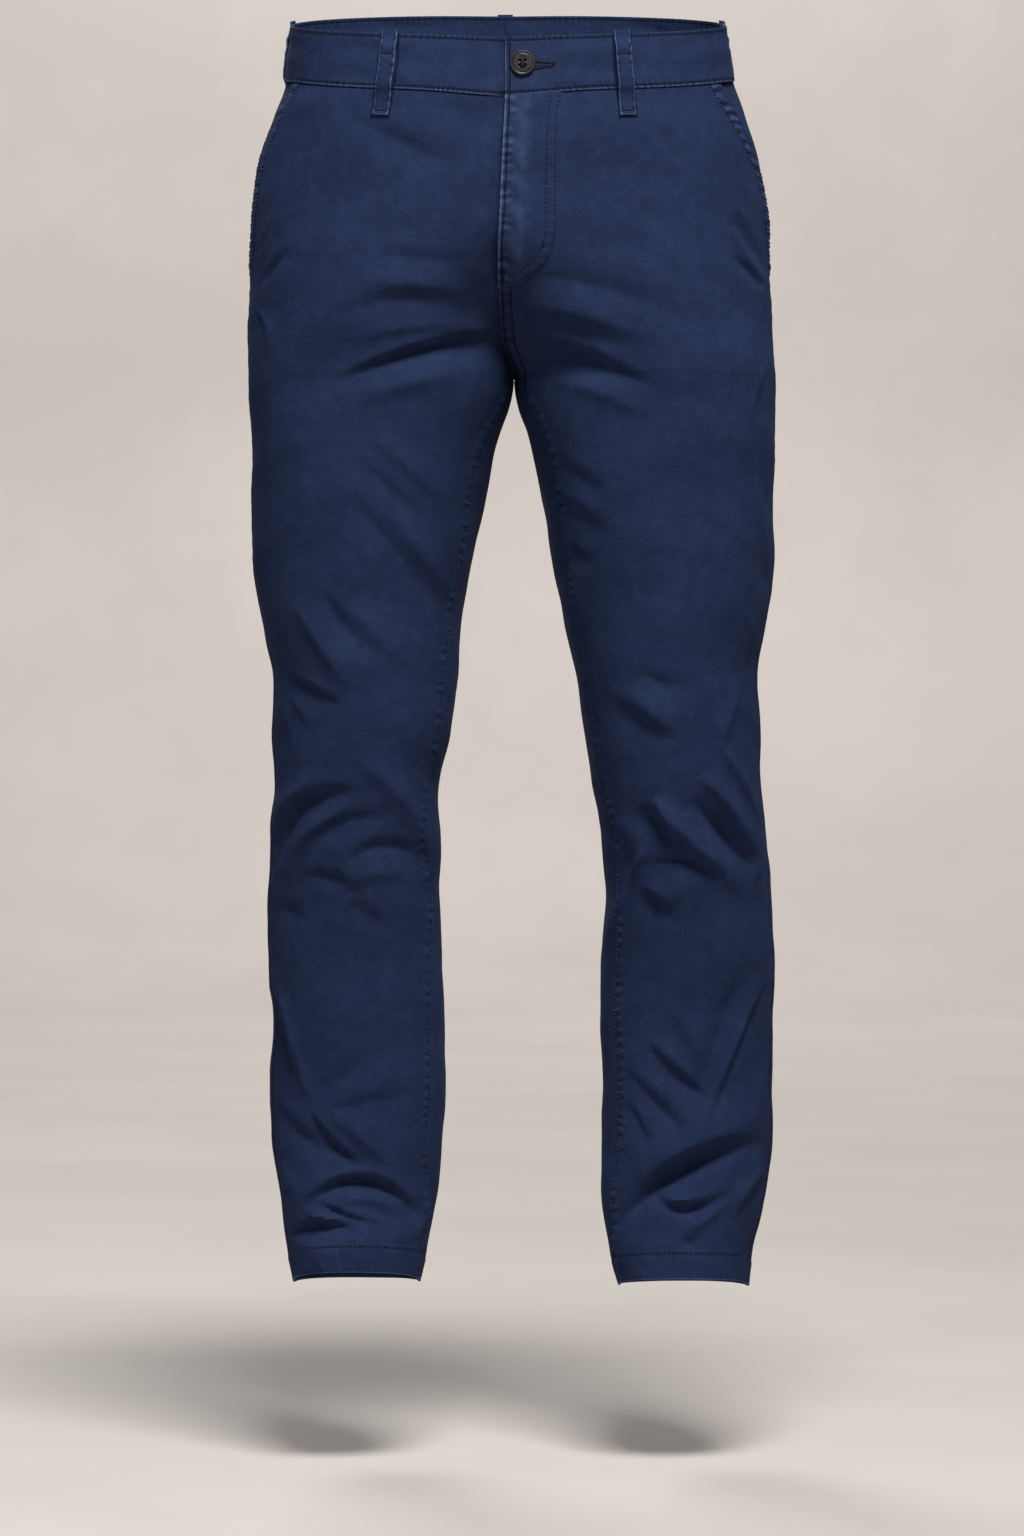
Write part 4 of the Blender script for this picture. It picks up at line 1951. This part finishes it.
@dataclass(frozen=True)
class StudioFinish:
    """Plain pale paint for the floor and the backdrop, darker towards the top."""

    name: str = "studio"
    body: Colour = (0.490, 0.455, 0.427, 1)
    darkening: float = 0.82

    def material(self) -> bpy.types.Material:
        """Builds the material."""
        shader = Shader(self.name)
        spot = shader.spot()
        cloudy = shader.noise(spot, 1.6, 4.0, 0.6)
        darker = tuple(c * self.darkening for c in self.body[:3]) + (1,)
        share = cloudy.soft(0.35, 0.65) * 0.35 + shader.part(spot, "Z").soft(0.0, 1.5) * 0.8
        shader.set(Base_Color=shader.mix(share, self.body, darker), Roughness=0.7)
        return shader.material


class Lamp(NamedTuple):
    """A soft rectangular lamp: where it hangs and points, its size, its power and its tint."""

    name: str
    place: tuple[float, float, float]
    aim: tuple[float, float, float]
    size: tuple[float, float]
    power: float
    tint: tuple[float, float, float]


LAMPS = (
    Lamp("key", (0.45, -1.75, 2.75), (0, 0, -0.5), (1.4, 1.0), 236, (1.0, 0.985, 0.96)),
    Lamp("fill", (-2.6, -2.4, 0.0), (0, 0, -0.5), (1.8, 1.8), 14, (0.95, 0.97, 1.0)),
    Lamp("back", (-1.1, 3.1, 2.2), (0, 0, -0.6), (1.6, 1.2), 70, (1.0, 0.99, 0.97)),
    Lamp("wall_wash", (0, 5.4, 3.0), (0, 8.0, -1.0), (6.0, 1.0), 235, (1.0, 0.98, 0.96)),
)


@dataclass
class Studio:
    """The camera, the pale sweep behind the trousers, and soft light."""

    camera_back: float = 3.6
    camera_z: float = -0.594
    pixels: tuple[int, int] = (1024, 1536)
    focal_pixels: float = 4500.0
    floor_z: float = -1.145
    sweep_y: float = 8.0
    sweep_radius: float = 1.6
    wall_height: float = 7.0
    half_width: float = 12.0
    surround: Colour = (0.93, 0.95, 1.0, 1)
    surround_strength: float = 0.07

    def camera(self) -> None:
        """The camera: level, square on, at the photograph's distance."""
        data = bpy.data.cameras.new("camera")
        data.sensor_width = 36.0
        data.lens = data.sensor_width * self.focal_pixels / max(self.pixels)
        camera = bpy.data.objects.new("camera", data)
        camera.location = (0.0, -self.camera_back, self.camera_z)
        camera.rotation_euler = (math.pi / 2, 0, 0)
        bpy.context.scene.collection.objects.link(camera)
        bpy.context.scene.camera = camera

    def sweep(self) -> bpy.types.Object:
        """The floor and the wall behind as one curved sheet."""
        turns = np.linspace(0, 90, 25) * DEGREE
        curve = self.sweep_y - self.sweep_radius + self.sweep_radius * np.sin(turns)
        y = np.concatenate([[-self.half_width, -3.0, 0.0], curve, [self.sweep_y]])
        z = np.concatenate([[0.0, 0.0, 0.0], self.sweep_radius * (1 - np.cos(turns)), [self.wall_height]])
        line = np.stack([y, z + self.floor_z], -1)
        points = np.array([(x, a, b) for x in (-self.half_width, self.half_width) for a, b in line])
        count = len(line)
        faces = [(i, i + count, i + count + 1, i + 1) for i in range(count - 1)]
        piece = mesh_piece("sweep", points, faces, unit=1.0)
        piece.data.materials.append(StudioFinish().material())
        return piece

    @staticmethod
    def hang(lamp: Lamp) -> None:
        """Hangs one lamp, turned to its aim."""
        data = bpy.data.lights.new(lamp.name, "AREA")
        data.shape = "RECTANGLE"
        data.size, data.size_y = lamp.size
        data.energy = lamp.power
        data.color = lamp.tint
        light = bpy.data.objects.new(lamp.name, data)
        light.location = lamp.place
        light.rotation_euler = (Vector(lamp.aim) - Vector(lamp.place)).to_track_quat("-Z", "Y").to_euler()
        bpy.context.scene.collection.objects.link(light)

    def light(self) -> None:
        """All the lamps, and an even surround."""
        for lamp in LAMPS:
            self.hang(lamp)
        world = bpy.data.worlds.new("studio")
        world.use_nodes = True
        background = world.node_tree.nodes["Background"].inputs
        background["Color"].default_value = self.surround
        background["Strength"].default_value = self.surround_strength
        bpy.context.scene.view_settings.view_transform = "Standard"
        bpy.context.scene.world = world

    def build(self) -> None:
        """Sets up the studio."""
        self.camera()
        self.sweep()
        self.light()


@dataclass(frozen=True)
class Cut:
    """The flat piece of cloth that a sheet was cut from, in metres and square metres."""

    width: float
    length: float
    area: float


PANEL_CUTS = {
    Face.FRONT: Cut(0.340, 0.985, 0.255),
    Face.BACK: Cut(0.405, 1.055, 0.315),
}
BAND_CUTS = {"right": Cut(0.505, 0.046, 0.0226), "left": Cut(0.465, 0.046, 0.0208)}
FLY_CUT = Cut(0.044, 0.146, 0.0058)
BEARER_CUT = Cut(0.080, 0.160, 0.0068)
LOOP_CUT = Cut(0.0125, 0.072, 0.0009)


@dataclass
class Trousers:
    """Builds every piece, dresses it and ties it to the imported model."""

    cloth: bpy.types.Material
    thread: bpy.types.Material
    worn_thread: bpy.types.Material
    resin: bpy.types.Material

    def settle(
        self,
        piece: bpy.types.Object,
        material: bpy.types.Material,
        *nodes: str,
        cut: Cut | None = None,
        slot: Finish = Finish.CLOTH,
    ) -> None:
        """Gives a piece its material, body and slot, and says which nodes it stands for.

        Args:
            piece: The piece.
            material: Its material.
            nodes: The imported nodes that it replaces.
            cut: The flat cloth it was cut from, if it is a sheet.
            slot: The record's slot.
        """
        piece.data.materials.clear()
        piece.data.materials.append(material)
        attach(piece, "root")
        if nodes:
            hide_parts(*nodes)
        log.info("%s: %d faces", piece.name, len(piece.data.polygons))

    def build(self) -> None:
        """Builds the trousers, piece by piece."""
        for leg in LEGS.values():
            for face in Face:
                panel = Panels().build(leg, face)
                self.settle(panel, self.cloth, f"{face.value}_{leg.name}", cut=PANEL_CUTS[face])
            band = Waistband().build(leg)
            self.settle(band, self.cloth, f"waistband_{leg.name}", cut=BAND_CUTS[leg.name])
            bearer = PocketBearer().build(leg)
            self.settle(bearer, self.cloth, f"pocket_bearer_{leg.name}", cut=BEARER_CUT)
        self.settle(Fly().build(), self.cloth, "fly_flap", cut=FLY_CUT)
        for loop in LOOP_PLACES:
            self.settle(BeltLoops().build(loop), self.cloth, f"belt_loop_{loop.name}", cut=LOOP_CUT)
        sewing = Topstitching()
        for make in (sewing.band, sewing.fly, sewing.loops):
            self.settle(make(), self.thread)
        for make in (sewing.pockets, sewing.legs, sewing.hems, sewing.seat):
            self.settle(make(), self.worn_thread)
        self.button()

    def button(self) -> None:
        """The waist button, its thread and its buttonhole."""
        button = WaistButton()
        seat = button.seat()
        disc, threads = button.disc(), button.threads()
        disc.data.transform(seat)
        threads.data.transform(seat)
        self.settle(disc, self.resin, "waist_button", slot=Finish.BUTTON)
        self.settle(threads, self.thread, slot=Finish.BUTTON)
        self.settle(button.buttonhole(), self.thread)
        self.settle(button.slit_shadow(), self.thread)


def main() -> None:
    """Builds the whole scene."""
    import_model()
    Studio().build()
    trousers = Trousers(
        cloth=TwillFinish().material(),
        thread=ThreadFinish().material(),
        worn_thread=WORN_THREAD.material(),
        resin=ButtonFinish().material(),
    )
    trousers.build()


if __name__ == "__main__":
    main()
